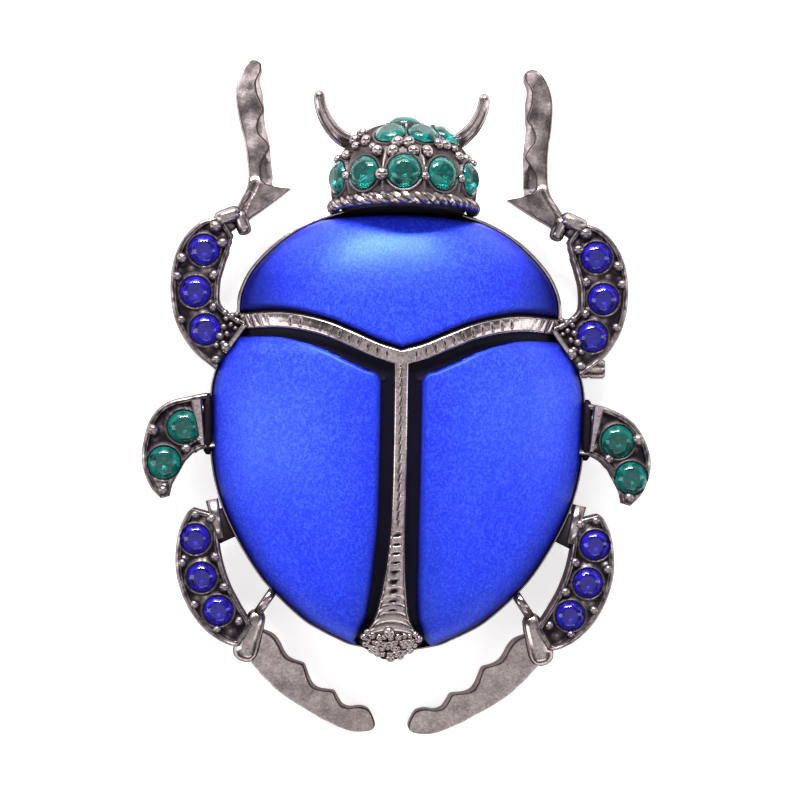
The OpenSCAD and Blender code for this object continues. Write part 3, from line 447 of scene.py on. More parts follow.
def mirror_foil(name, deep, bright):
    """Vacuum-coated silver foil behind a stone: a mirror seen through the coloured glass."""
    # The coating is uneven over about 0.5 mm; each facet is also painted its own brightness as painted
    # reflection
    return faceted(name, deep, bright, 0.5, 0.75, {"Metallic": 1.0, "Roughness": 0.25})


def light_table():
    """Opal acrylic sheet of a light table: matt white, lit from below so that shadows wash out."""
    mat, tree, shader, place = new_material("opal_light_table")
    # Faint clouds of about 2 mm in the sheet
    clouds = add(tree, "ShaderNodeTexNoise", {"Vector": place, "Scale": 1 / (2 * MM), "Detail": 2})
    tone = add(tree, "ShaderNodeMix", {
        "Factor": clouds.outputs["Fac"], "A": linear("#f7f7f8"), "B": linear("#fbfbfb")}, data_type="RGBA")
    fill(tree, shader, {
        "Base Color": tone.outputs["Result"], "Roughness": 0.9, "Emission Color": (1, 1, 1, 1),
        "Emission Strength": 0.55})
    return mat


METAL = gunmetal_plating()
BLUE = satin_enamel()
BLACK = black_enamel()
# Glass of the crown and foil of the back, for each kind of stone
SEA_GREEN = [
    cut_glass("sea_green_glass", "#011a1e", "#12a094"), mirror_foil("sea_green_foil", "#1c2a28", "#ecfaf8")]
SAPPHIRE = [
    cut_glass("sapphire_glass", "#07033e", "#3a28f2"), mirror_foil("sapphire_foil", "#1e1e3c", "#e8e8fe")]


# Node trees for what repeats or follows a path

def node_tree(name, size):
    """A tree with one named size; gives the tree, the identifier of that input, and the input node."""
    tree = bpy.data.node_groups.new(name, "GeometryNodeTree")
    tree.interface.new_socket("Geometry", in_out="INPUT", socket_type="NodeSocketGeometry")
    socket = tree.interface.new_socket(size, in_out="INPUT", socket_type="NodeSocketFloat")
    tree.interface.new_socket("Geometry", in_out="OUTPUT", socket_type="NodeSocketGeometry")
    return tree, socket.identifier, add(tree, "NodeGroupInput")


def end_tree(tree, geometry, mat):
    smooth = add(tree, "GeometryNodeSetShadeSmooth", {"Geometry": geometry})
    real = add(tree, "GeometryNodeRealizeInstances", {"Geometry": smooth.outputs["Geometry"]})
    clad = add(tree, "GeometryNodeSetMaterial", {"Geometry": real.outputs["Geometry"], "Material": mat})
    add(tree, "NodeGroupOutput", {"Geometry": clad.outputs["Geometry"]})


def bead_tree(mat):
    tree, size, given = node_tree("prong beads", "Bead radius")
    ball = add(tree, "GeometryNodeMeshIcoSphere", {
        "Radius": given.outputs["Bead radius"], "Subdivisions": 3})
    share = add(tree, "GeometryNodeInputNamedAttribute", {"Name": "share"}, data_type="FLOAT")
    # Cast beads are a little long, each turned its own way
    long = add(tree, "GeometryNodeTransform", {"Geometry": ball.outputs["Mesh"], "Scale": (0.95, 1.08, 0.97)})
    turn = add(tree, "FunctionNodeRandomValue", {
        "Max": (0.3, 0.3, 6.28), "Seed": 3}, data_type="FLOAT_VECTOR")
    placed = add(tree, "GeometryNodeInstanceOnPoints", {
        "Points": given.outputs["Geometry"], "Instance": long.outputs["Geometry"],
        "Rotation": turn.outputs["Value"], "Scale": share.outputs["Attribute"]})
    end_tree(tree, placed.outputs["Instances"], mat)
    return tree, size


def strand_tree(mat):
    tree, size, given = node_tree("metal strands", "Strand radius")
    path = add(tree, "GeometryNodeMeshToCurve", {"Mesh": given.outputs["Geometry"]})
    round_wire = add(tree, "GeometryNodeCurvePrimitiveCircle", {
        "Resolution": 10, "Radius": given.outputs["Strand radius"]})
    swept = add(tree, "GeometryNodeCurveToMesh", {
        "Curve": path.outputs["Curve"], "Profile Curve": round_wire.outputs["Curve"], "Fill Caps": True})
    end_tree(tree, swept.outputs["Mesh"], mat)
    return tree, size


BEADS = bead_tree(METAL)
STRANDS = strand_tree(METAL)


def grown(name, points, edges, recipe, size, share=(), shade=0.0):
    """Runs a node tree over points or paths and keeps the result as a plain mesh."""
    tree, size_input = recipe
    mesh = bpy.data.meshes.new(name)
    mesh.from_pydata((np.asarray(points) * MM).tolist(), edges, [])
    if len(share):
        note(mesh, "share", share)
    source = bpy.data.objects.new(name, mesh)
    bpy.context.scene.collection.objects.link(source)
    modifier = source.modifiers.new("grown", "NODES")
    modifier.node_group = tree
    modifier[size_input] = size * MM
    bpy.context.view_layer.update()
    seen = source.evaluated_get(bpy.context.evaluated_depsgraph_get())
    plain = bpy.data.meshes.new_from_object(seen)
    source.modifiers.remove(modifier)
    bpy.data.objects.remove(source)
    note(plain, "patina_and_shade", np.full(len(plain.vertices), shade))
    return plain


def beads(name, points, size, share, shade=0.0):
    plated(name, grown(name, points, [], BEADS, size, share, shade))


# Shape of the body

def along(y):
    return (NECK_Y - y) / BODY_L


def body_y(share):
    return NECK_Y - share * BODY_L


def half_w(y):
    return BODY_W / 2 * curve(BODY, along(y), 1)


def dome_z(x, y):
    fall = np.minimum(1, np.abs(x) / half_w(y)) ** DOME_FULLNESS
    return RIM_Z + DOME_H * curve(BODY, along(y), 2) * (1 - fall)


def bed_z(x, y):
    return np.maximum(PLATE_TOP, dome_z(x, y) - ENAMEL_T - BED_GAP)


# Length over which the rim thins behind the arms
RIM_THINNING = 4


def rim_w(y):
    start = ARM_Y + ARM_RISE
    return mix(RIM_W_FRONT, RIM_W_REAR, fade(y, start, start - RIM_THINNING))


def inside_half(y):
    step = 0.2
    slope = (half_w(y + step) - half_w(y - step)) / (2 * step)
    return half_w(y) - rim_w(y) * np.hypot(1, slope)


ARM_SPAN = float(half_w(ARM_Y + ARM_RISE)) - 0.2


def arm_mid(x):
    return ARM_Y + ARM_RISE * curve(V_LINE, np.minimum(1, np.abs(x) / ARM_SPAN))


def arm_bank(x):
    d = 0.02 * ARM_SPAN
    return np.arctan2(arm_mid(np.abs(x) + d) - arm_mid(np.maximum(0, np.abs(x) - d)), 2 * d)


STEM_L = ARM_Y + BODY_L - NECK_Y + 0.15


def stem_half(y):
    return mix(STEM_W, FAN_W, curve(STEM, np.clip((ARM_Y - y) / STEM_L, 0, 1))) / 2


def eased(count):
    """Shares from 0 to 1 that crowd towards both ends."""
    return (1 - np.cos(np.pi * np.linspace(0, 1, count))) / 2


# Edge of the plate from its underside to the top of the rim: inset, height
OUTER_WALL = [
    (0.25, PIN_ROOM), (0.06, PIN_ROOM + 0.06), (0, PIN_ROOM + 0.25), (0, RIM_Z - 0.16), (0.04, RIM_Z - 0.04),
    (0.12, RIM_Z),
]
# Down the inside of the rim: inset past the rim's own width, height
INNER_WALL = [(-0.1, RIM_Z), (-0.03, RIM_Z - 0.05), (0, RIM_Z - 0.16), (0, PLATE_TOP)]


def body_plate():
    y = body_y(BODY[-1, 0] * eased(150))
    right = np.stack([half_w(y), y], -1)
    outline = np.concatenate([right, (right * [-1, 1])[::-1]])
    ahead = np.roll(outline, -1, 0) - np.roll(outline, 1, 0)
    normal = unit(np.stack([ahead[:, 1], -ahead[:, 0]], -1))
    normal *= np.sign((normal * outline).sum(1).mean())
    width = rim_w(outline[:, 1])
    rows = [(0 * width + inset, z) for inset, z in OUTER_WALL]
    rows += [(width + inset, z) for inset, z in INNER_WALL]
    rings = [np.column_stack([outline - normal * d[:, None], np.full(len(outline), z)]) for d, z in rows]
    cast("body_plate_and_rim", [loft(rings)], sharp=60, flank=0.3)


def enamel_bed():
    under_rim, into_plate = 0.05, 0.4
    y = body_y(mix(0.004, 0.98, eased(70)))[:, None]
    x = (inside_half(y) + under_rim) * np.linspace(-1, 1, 71)[None, :]
    y = np.broadcast_to(y, x.shape)
    top = np.stack([x, y, bed_z(x, y)], -1)
    bottom = np.stack([x, y, np.full(x.shape, PLATE_TOP - into_plate)], -1)
    # Blackened all over, as black oxide and as painted shade: the bed shows only in narrow gaps, where it
    # would lie in shade
    cast("enamel_bed", [shell(top, bottom)], [1.0])


# The ridge: a V of two arms and a stem that flares into the tail

# Cross-section of the ridge: share across, drop below the crest
RIDGE_SECTION = np.array([
    [0, 0], [0.3, 0], [0.5, -0.01], [0.66, -0.02], [0.76, -0.05], [0.84, -0.1], [0.91, -0.19], [0.96, -0.32],
    [1, -0.5],
])
RIDGE_COLUMNS = np.concatenate([-np.linspace(1, 0, 16) ** 0.7, np.linspace(0, 1, 16)[1:] ** 0.7])
# How far the ridge lies below the dome's surface, and how deep its feet reach into the bed
RIDGE_DROP, RIDGE_FOOT = ENAMEL_T / 8, 0.3
# Flutes of the arms: distance from the middle at which they start and are full, pitch, depth
FLUTES_FROM, FLUTES_FULL, FLUTE_PITCH, FLUTE_DEPTH = 11.4, 13, 0.66, 0.17
# Pitch and depth of the notches chased across the arms, and of the ribs and notches across the stem
ARM_PITCH, ARM_NOTCH, STEM_PITCH, STEM_NOTCH = 0.86, 0.13, 0.8, 0.2
# The stretch of the left arm whose notches are worn, from the middle
WORN_FROM, WORN_TO = -6.4, -8.6
# Down the stem from the arms: end of the groove, start of the notches, start and end of the growing ribs
GROOVE_END, NOTCH_START, RIB_START, RIB_END = 14.4, 14.2, 18.5, 21.5


def ridge(name, middle, across, half, up, relief, dark):
    """Sweeps the cross-section along a line; relief and dark are given at its columns."""
    flat = middle[:, None, :] + across[:, None, :] * (half[:, None] * RIDGE_COLUMNS[None, :])[..., None]
    crest = dome_z(middle[:, 0], middle[:, 1]) - RIDGE_DROP + up
    z = crest[:, None] + curve(RIDGE_SECTION, np.abs(RIDGE_COLUMNS[None, :])) + relief
    base = bed_z(middle[:, 0], middle[:, 1]) - RIDGE_FOOT
    rows = np.concatenate([flat, z[..., None]], -1)
    feet = [np.column_stack([flat[:, k], base])[:, None] for k in (-1, 0)]
    shade = np.concatenate([dark, np.full((len(middle), 2), 0.9)], 1)
    cast(name, [loft(np.concatenate([rows, *feet], 1))], [shade.reshape(-1)], sharp=50)


def ridge_arms():
    """Rope-like flutes over the outer end of each arm, short chased notches across the rest."""
    count = 561
    x = np.linspace(-ARM_SPAN, ARM_SPAN, count)
    bank = np.sign(x) * arm_bank(x)
    middle = np.stack([x, arm_mid(x)], -1)
    across = np.stack([np.sin(bank), -np.cos(bank)], -1)
    run = np.concatenate([[0], np.cumsum(np.linalg.norm(np.diff(middle, axis=0), axis=1))])
    s = (run - run[-1] / 2)[:, None]
    away = np.abs(s)
    q = RIDGE_COLUMNS[None, :]
    outer = fade(away, FLUTES_FROM, FLUTES_FULL)
    flute = np.abs(np.sin(np.pi * (away + 0.25 * q) / FLUTE_PITCH)) ** 0.7
    relief = -FLUTE_DEPTH * outer * (1 - flute) * (1 - np.abs(q) ** 6)
    dark = 0.75 * outer * (1 - flute) ** 2
    lane = (away + 0.16 * q ** 2 + 0.06 * q) / ARM_PITCH
    inner = fade(away, FLUTES_FROM - 0.6, FLUTES_FROM - 1.1) * fade(away, 0.7, 1)
    worn = np.where((s < WORN_FROM) & (s > WORN_TO), 0.15, 1)
    notch = bump_at(lane - np.floor(lane) - 0.5, 0, 0.11) * bump_at(np.abs(q), 0, 0.62) ** 2 * inner * worn
    dark = np.clip(dark + 1.1 * notch, 0, 1)
    ridge("ridge_arms", middle, across, np.full(count, ARM_W / 2), 0.04, relief - ARM_NOTCH * notch, dark)


def ridge_stem():
    """A fine serrated groove down the upper stem, then notches, and curved ribs across the flare."""
    overlap = 0.2
    y = ARM_Y + overlap - np.linspace(0, 1, 460) * (STEM_L + overlap)
    middle = np.stack([curve(SWAY, y), y], -1)
    across = np.broadcast_to([-1.0, 0.0], middle.shape)
    half = stem_half(y)
    q = RIDGE_COLUMNS[None, :]
    s = (ARM_Y - y)[:, None]
    side = q * half[:, None]
    lane = s / STEM_PITCH + 0.3 * side ** 2 - 0.22 * side
    inner = fade(s, NOTCH_START, NOTCH_START + 0.5) * fade(s, RIB_END + 0.3, RIB_END - 0.3)
    wander = 0.1 * np.sin(9 * s)
    notch = inner * bump_at(lane - np.floor(lane) - 0.5, wander, 0.22) * bump_at(side, 0.05, 0.55) ** 2
    tooth = 0.16 * (s / STEM_PITCH - np.floor(s / STEM_PITCH)) - 0.05
    groove = bump_at(side, tooth, 0.08) * fade(s, GROOVE_END, GROOVE_END - 0.6)
    hollow = 1 - np.abs(np.sin(np.pi * (s - 0.5 * q ** 2) / STEM_PITCH)) ** 0.6
    flare = fade(s, RIB_START, RIB_END)
    relief = -STEM_NOTCH * notch - 0.1 * groove - 0.13 * flare * hollow * (1 - np.abs(q) ** 8)
    grain_bed = fade(s / STEM_L, 0.905, 0.925)
    dark = 1.9 * notch - 0.25 * inner + 0.95 * groove + 0.9 * flare * hollow ** 2 + 0.95 * grain_bed
    up = FAN_PROUD * curve(STEM, np.clip(s[:, 0] / STEM_L, 0, 1), 2)
    ridge("ridge_stem", middle, across, half, up, relief, np.clip(dark, 0, 1))


# Rows of grains in the fan: share of the stem's length, number of grains, size share
FAN_ROWS = ((0.922, 9, 0.85), (0.941, 11, 1.0), (0.96, 10, 1.0), (0.976, 7, 1.05), (0.989, 3, 1.0))
GRAIN_R, GRAIN_SINK = 0.34, 0.25


def fan_grains():
    """Irregular cast grains in rows along the rear edge of the flare, and one round bead above them."""
    rng = np.random.default_rng(7)
    points, share = [], []
    for run, number, size in FAN_ROWS:
        reach = 0.46 * FAN_W * (1 - 3.4 * max(0, run - 0.945)) * (number / 11) ** 0.35
        for k in range(number):
            u = mix(-1, 1, (k + 0.5) / number)
            y = ARM_Y - STEM_L * run + 0.45 * u ** 2 + rng.uniform(-0.12, 0.12)
            x = u * reach + rng.uniform(-0.1, 0.1) + float(curve(SWAY, y))
            z = float(dome_z(0, y) + FAN_PROUD * curve(STEM, run, 2)) - GRAIN_SINK - 0.3 * abs(u) ** 3
            points.append([x, y, z])
            share.append(size * rng.uniform(0.8, 1.25))
    y = ARM_Y - STEM_L * 0.905
    points.append([float(curve(SWAY, y)) - 0.2, y, float(dome_z(0, y)) + FAN_PROUD * 0.75 - 0.12])
    share.append(1.5)
    beads("fan_grains", points, GRAIN_R, share)


# Enamel fields

# Width and strength of the painted shade along every edge of the blue enamel
EDGE_SHADE_W, EDGE_SHADE = 0.6, 0.55


def edge_distance(points):
    """Distance in the plan from each point of a grid to the grid's own edge."""
    edge = np.concatenate([points[0], points[1:, -1], points[-1, ::-1], points[::-1, 0]])
    flat = points.reshape(-1, 2)
    near = []
    for k in range(0, len(flat), 2000):
        near.append(np.sqrt(((flat[k:k + 2000, None] - edge[None]) ** 2).sum(-1)).min(1))
    return np.concatenate(near).reshape(points.shape[:2])


def enamel_field(name, points, painted_shade):
    """An enamel field over a grid of the plan; painted_shade tells how much painted shade lies at its points.
    """
    away = edge_distance(points)
    x, y = points[..., 0], points[..., 1]
    slope, roll = fade(away, SLOPE_W, 0), fade(away, ROLL_W, 0)
    top = dome_z(x, y) - SLOPE_DROP * slope ** 3 - ROLL_DROP * (1 - np.sqrt(np.maximum(0, 1 - roll ** 2)))
    floor = np.maximum(PLATE_TOP + 0.08, np.minimum(dome_z(x, y) - ENAMEL_T, top - 0.1))
    solid = shell(np.stack([x, y, top], -1), np.stack([x, y, floor], -1))
    # Painted shade along the field's edges
    painted_shade = np.clip(painted_shade + EDGE_SHADE * fade(away, EDGE_SHADE_W, 0), 0, 1)
    mesh = to_mesh(name, [solid], [np.concatenate([painted_shade.reshape(-1)] * 2)])
    piece(name + "_field", mesh, BLUE, (name,), "satin_blue_enamel", sharp=70)


def edge_x(y):
    return inside_half(y) - FIELD_GAP


PRONOTUM_FRONT = NECK_Y - 0.55
PRONOTUM_SIDE = PRONOTUM_FRONT - 0.45


def pronotum_field():
    u = mix(-1, 1, eased(131))[None, :]
    v = eased(91)[:, None]
    over_arm = ARM_W / 2 + 0.2
    side_y = mix(PRONOTUM_SIDE, float(arm_mid(ARM_SPAN)) + over_arm, v)
    x = u * edge_x(side_y)
    rim_y = arm_mid(x) + over_arm / np.cos(arm_bank(x))
    front_y = mix(PRONOTUM_FRONT, PRONOTUM_SIDE, u ** 2)
    y = mix(front_y, rim_y, v)
    # Painted shade: darker towards the arms and most of all at the lower corners
    low = fade(y, 15, 9)
    sides = fade(np.abs(u), 0.45, 1) ** 1.3 * np.clip(low + 0.2, 0.25, 1)
    enamel_field("pronotum_enamel", np.stack([x, y], -1), 0.85 * sides + 0.2 * low)


WING_TAIL_Y, WING_FOOT_Y = body_y(0.961), body_y(0.975)
# Radius of a wing case's inner front corner
WING_CORNER = 1.1


def wing_top(x):
    """Front edge of the wing cases; the channel before it narrows towards the sides."""
    channel = CHANNEL_W * mix(1.05, 0.5, fade(np.abs(x), 5, 14))
    return arm_mid(x) - (ARM_W / 2 + channel) / np.cos(arm_bank(x))


def stem_edge(y):
    """Inner edge of the wing cases; the channel beside the stem narrows towards the tail."""
    return stem_half(y) + mix(CHANNEL_W, 0.42, fade(y, -13, -20.5) ** 1.5) + FIELD_GAP


def wing_points(sign):
    """Grid of a wing case, drawn for the right, and the painted shade on it, darkest at its outer edge, then
    at its inner edge and its tail.
    """
    u = eased(111)[None, :]
    v = eased(151)[:, None]
    start_x = stem_edge(ARM_Y) + WING_CORNER
    in_top = float(wing_top(start_x)) - FIELD_GAP
    out_top = float(wing_top(edge_x(ARM_Y))) - FIELD_GAP
    in_y = mix(in_top, WING_TAIL_Y, v)
    out_y = mix(out_top, WING_FOOT_Y, v)
    near = fade(in_top - in_y, WING_CORNER, 0)
    corner = WING_CORNER * (1 - np.sqrt(1 - near ** 2))
    x = mix(stem_edge(in_y) + corner + sign * curve(SWAY, in_y), edge_x(out_y), u)
    arch_x = mix(start_x, edge_x(out_top), u)
    arch = wing_top(arch_x) - FIELD_GAP - mix(in_top, out_top, u)
    # Painted shade towards the outer edge, the inner edge and the tail
    painted_shade = 0.7 * fade(u, 0.74, 1) ** 1.3 + 0.45 * fade(u, 0.35, 0) ** 1.2 + 0.25 * fade(v, 0.8, 1)
    return np.stack([x, mix(in_y, out_y, u) + arch * (1 - v) ** 2], -1), painted_shade


def wing_fields():
    for side, sign in SIDES:
        points, painted_shade = wing_points(sign)
        enamel_field(f"elytron_{side}", points * [sign, 1], painted_shade)


# How far the black enamel reaches under the ridge's flank and under the wing case, and how much it sags
UNDER_RIDGE, UNDER_WING, CHANNEL_SAG = 0.15, 0.4, 0.12


def channel_fields():
    """Black enamel from the flank of the ridge to under the edge of each wing case."""
    reach = CHANNEL_W + UNDER_WING
    x = np.linspace(ARM_SPAN - 0.35, float(stem_half(ARM_Y)) + 0.1, 90)
    bank = arm_bank(x)
    arm = np.stack([x, arm_mid(x)], -1)
    out = np.stack([np.sin(bank), -np.cos(bank)], -1)
    start = arm + out * (ARM_W / 2 - UNDER_RIDGE)
    finish = arm + out * (ARM_W / 2 + reach)
    y = np.linspace(float(start[-1, 1]) - 0.3, body_y(0.962), 120)
    inner = np.concatenate([start, np.stack([stem_half(y) - UNDER_RIDGE, y], -1)])
    outer = np.concatenate([finish, np.stack([stem_half(y) + reach, np.minimum(y, finish[-1, 1])], -1)])
    t = np.linspace(0, 1, 9)[None, :, None]
    middle = inner[:, None] * (1 - t) + outer[:, None] * t
    middle[..., 0] = np.maximum(middle[..., 0], 0.2)
    for side, sign in SIDES:
        name = f"channel_enamel_{side}"
        flat = middle.copy()
        flat[..., 0] += sign * curve(SWAY, flat[..., 1])
        z = bed_z(flat[..., 0], flat[..., 1])
        level = z + BED_GAP + CHANNEL_T - CHANNEL_SAG * np.sin(np.pi * t[..., 0])
        top = np.concatenate([flat, level[..., None]], -1)
        bottom = np.concatenate([flat, (z + BED_GAP / 2)[..., None]], -1)
        mesh = to_mesh(name, [mirror(shell(top, bottom), sign)])
        piece(name + "_field", mesh, BLACK, (name,), "black_enamel", sharp=60)


# Head

# Half of the arc that the head covers round its axis
HEAD_ARC = 101


def to_head(points):
    """Moves points from the head's own axes, whose Y is the head's axis, to the brooch's."""
    return turned(points, -HEAD_PITCH, "X") + [HEAD_SHIFT, COLLAR_Y, HEAD_AXIS_Z]


def head_seat(around, share, lean):
    """Middle, normal and first cross direction of a seat on the head."""
    axes = turned(turned(np.eye(3), -lean, "X"), around, "Y")
    spot = turned([0, share * HEAD_L, float(HEAD_R * curve(HEAD, share))], around, "Y")
    return to_head(spot), turned(axes[2], -HEAD_PITCH, "X"), turned(axes[0], -HEAD_PITCH, "X")


def head_cap():
    """The head with thin walls between its lower stones and a pocket with a lip for each stone."""
    turns = np.radians(np.linspace(-HEAD_ARC, HEAD_ARC, 341))[None, :]
    share = np.linspace(0, 1, 121)[:, None]
    r = HEAD_R * curve(HEAD, share) + 0 * turns
    row = bump_at(share, LOWER_ROW, 0.19)
    dark = 0.78 + 0.15 * row + 0 * r
    for wall in HEAD_WALLS:
        gap = (turns - math.radians(wall)) * r
        hollows = bump_at(gap, 0.42, 0.22) + bump_at(gap, -0.42, 0.22)
        r = r + row * (0.16 * bump_at(gap, 0, 0.16) - 0.2 * hollows)
    points = to_head(np.stack([r * np.sin(turns), share * HEAD_L + 0 * turns, r * np.cos(turns)], -1))
    for wall in HEAD_WALLS[1:-1]:
        dark -= 0.45 * row * bump_at((turns - math.radians(wall)) * r, 0, 0.12)
    for around, seat_share, lean, d in HEAD_SEATS:
        middle, normal, _ = head_seat(around, seat_share, lean)
        away = points - middle
        height = away @ normal
        radius = np.linalg.norm(away - height[..., None] * normal, axis=-1)
        pocket, lip_w, reach = d / 2 + 0.07, 0.2, 2.2
        near = np.abs(height) < reach
        inside = near & (radius < pocket)
        lip = near & (radius >= pocket) & (radius < pocket + lip_w)
        target = np.where(inside, -0.42 * d * (1 - radius / pocket) - 0.06, -0.03)
        points = np.where((inside | lip)[..., None], points + (target - height)[..., None] * normal, points)
        dark = np.where(inside, 0.9, np.where(lip, 0.6, dark))
    cast("head_cap", [loft(points)], [np.clip(dark, 0, 1).reshape(-1)], sharp=50)


def neck():
    """The neck from inside the body to its flare inside the head: place along the head's axis, radius."""
    turns = np.radians(np.linspace(-104, 104, 81))
    x, z = np.sin(turns), np.cos(turns)
    flare = NECK_R + 0.4
    profile = ((-NECK_L - 0.35, NECK_R), (-NECK_L, NECK_R), (-0.5, NECK_R), (0.1, flare), (0.3, flare))
    rings = [to_head(np.stack([r * x, 0 * turns + y, r * z], -1)) for y, r in profile]
    # The neck is darkened almost to black as painted shadow under the head and its collar
    cast("neck", [loft(rings)], [0.92], sharp=50)


def rope_collar():
    """A rope border of three strands wound over a dark core."""
    steps, wraps, wind_r, strand_r = 420, -7.8, 0.28, 0.29
    t = np.linspace(0, 1, steps)
    ring = np.radians(mix(-98, 98, t))
    points, edges = [], []
    for strand in range(3):
        wind = 2 * np.pi * (wraps * t + strand / 3)
        out = HEAD_R * 0.945 + wind_r * np.cos(wind)
        local = np.stack([out * np.sin(ring), wind_r * np.sin(wind), out * np.cos(ring)], -1)
        edges += [[k + strand * steps, k + 1 + strand * steps] for k in range(steps - 1)]
        points.append(to_head(local))
    plated("rope_strands", grown("rope_strands", np.concatenate(points), edges, STRANDS, strand_r))


# Round tip of a horn: shares of its last radius, outwards and across
HORN_TIP = [(0.3, 0.92), (0.6, 0.75), (0.85, 0.45), (0.98, 0.15)]


def horns():
    """Curved horns, each with a dark groove along its outer side."""
    u = np.linspace(0, 1, 40)
    root = np.array([0.72 * HEAD_R, COLLAR_Y + 0.8 * HEAD_L, HEAD_AXIS_Z + 0.06 * HEAD_R])
    path = root + np.stack([
        HORN_OUT * (1 - (1 - u) ** 1.8), HORN_L * u ** 1.3, HORN_ROOT_D * np.sin(u * np.pi / 2)], -1)
    ahead = unit(np.gradient(path, axis=0))
    r = np.linspace(HORN_ROOT_D, HORN_TIP_D, 40) / 2
    path = np.concatenate([path, [path[-1] + ahead[-1] * HORN_TIP_D / 2 * a for a, _ in HORN_TIP]])
    r = np.concatenate([r, [HORN_TIP_D / 2 * b for _, b in HORN_TIP]])
    ahead = np.concatenate([ahead, np.repeat(ahead[-1:], len(HORN_TIP), 0)])
    e = unit(np.cross(ahead, [0, 0, 1]))
    f = np.cross(e, ahead)
    spin = np.linspace(0, 2 * np.pi, 28, endpoint=False)
    groove = bump_at(spin, np.pi / 2 + 0.45, 0.16)
    rings = path[:, None] + r[:, None, None] * (1 - 0.16 * groove)[None, :, None] * (
        np.cos(spin)[None, :, None] * e[:, None] + np.sin(spin)[None, :, None] * f[:, None])
    dark = np.broadcast_to(0.8 * groove, rings.shape[:2]).reshape(-1)
    for side, sign in SIDES:
        points, faces = mirror(loft(rings), sign)
        cast(f"horn_{side}", [(points + [HORN_SHIFT, 0, 0], faces)], [dark], sharp=60)


def head_beads():
    points = []
    for around, run, _ in HEAD_BEADS:
        middle, normal, _ = head_seat(around, run, 0)
        points.append(middle + normal * 0.16)
    beads("head_prong_beads", points, PRONG_R, [size for _, _, size in HEAD_BEADS])


# Cut stones

def ring_of(count, radius, height, turn):
    """Points round a stone's axis, turned by a share of their pitch."""
    angles = [2 * math.pi * (k + turn) / count for k in range(count)]
    return [[radius * math.cos(a), radius * math.sin(a), height] for a in angles]


def brilliant(d):
    """Facets of a cut stone: points over its radius, and the faces of the crown, then of the pavilion."""
    girdle = 0.03
    points = np.array(
        ring_of(8, 0.54, 0.36, 0) + ring_of(8, 0.79, 0.22, 0.5) + ring_of(16, 1, girdle, 0)
        + ring_of(16, 1, -girdle, 0) + ring_of(8, 0.34, -0.56, 0.5) + [[0, 0, -0.78]]) * d / 2
    table, star, upper, lower, keel, culet = 0, 8, 16, 32, 48, 56
    crown = [list(range(8))]
    back = []
    for k in range(8):
        after, before = (k + 1) % 8, (k - 1) % 8
        g, g1, g2 = 2 * k, 2 * k + 1, (2 * k + 2) % 16
        crown += [
            [table + k, table + after, star + k], [table + k, star + before, upper + g, star + k],
            [star + k, upper + g, upper + g1], [star + k, upper + g1, upper + g2]]
        back += [
            [keel + k, lower + g, lower + g1], [keel + k, lower + g1, lower + g2],
            [culet, keel + before, lower + g, keel + k]]
    for k in range(16):
        crown.append([upper + k, upper + (k + 1) % 16, lower + (k + 1) % 16, lower + k])
    return points, crown, back


# Painted reflection: tone of a stone's table, and what the facets against the girdle catch more of the light
TABLE_GLINT, GIRDLE_GLINT = 0.2, 0.45


def stone(node, middle, normal, across, d, glass, slot, spin):
    points, crown, back = brilliant(d)
    axes = np.stack([across, np.cross(normal, across), normal])
    mesh = bpy.data.meshes.new(node)
    mesh.from_pydata(((turned(points, spin, "Z") @ axes + middle) * MM).tolist(), [], crown + back)
    outward(mesh)
    for mat in glass:
        mesh.materials.append(mat)
    seed = len(node) + int(abs(middle).sum() * 97)
    # Each facet gets a random painted tone, standing in for the light it reflects
    facet_glints = np.random.default_rng(seed).uniform(0, 1, len(crown) + len(back))
    facet_glints[0] = TABLE_GLINT
    facet_glints[[1 + 4 * k + n for k in range(8) for n in (2, 3)]] += GIRDLE_GLINT
    note(mesh, "facet", facet_glints, "FACE")
    for polygon in mesh.polygons:
        polygon.material_index = int(polygon.index >= len(crown))
    piece(node + "_cut", mesh, glass[0], (node,), slot, sharp=1)


def head_stones():
    for k, (around, share, lean, d) in enumerate(HEAD_SEATS):
        middle, normal, across = head_seat(around, share, lean)
        stone(f"head_stone_{k + 1}", middle, normal, across, d, SEA_GREEN, "sea_green_glass", 11 * k)


# Legs: a limb holds its table, root, reach sideways and lengthways, and width

FRONT_HIP_Y, MID_HIP_Y, REAR_HIP_Y, REAR_STUB_L = 4.4, 2.2, 9.7, 1.7
FRONT_HIP = np.array([float(half_w(FRONT_HIP_Y)) - 0.3, FRONT_HIP_Y])
MID_HIP = np.array([float(half_w(-MID_HIP_Y)), -MID_HIP_Y])
REAR_HIP = np.array([float(half_w(-REAR_HIP_Y)) + REAR_STUB_L, -REAR_HIP_Y])
# The left middle leg is fuller at its shoulder
SHOULDER = np.zeros_like(MID_LEG)
SHOULDER[:4] = [[0, 0, -0.035, 0.06], [0, 0, -0.035, 0.06], [0, 0.01, -0.05, 0.12], [0, 0, -0.02, 0.02]]
FRONT = (FRONT_THIGH, FRONT_HIP, np.array([3.15, 10.2]), 4.25)
MID = (MID_LEG, MID_HIP, np.array([4.2, -6.4]), 4.5)
MID_LEFT = (MID_LEG + SHOULDER, *MID[1:])
REAR = (REAR_THIGH, REAR_HIP, np.array([3.8, -10.6]), 4.1)
# Stones in a limb: along the run, side share; those of the middle legs first for the left leg
FRONT_SEATS = [(0.78, 0.02), (0.47, -0.02), (0.18, 0.12)]
MID_SEATS = [[(0.32, 0.02), (0.725, 0.1)], [(0.41, -0.04), (0.8, 0)]]
REAR_SEATS = [(0.24, -0.14), (0.52, -0.02), (0.78, 0)]
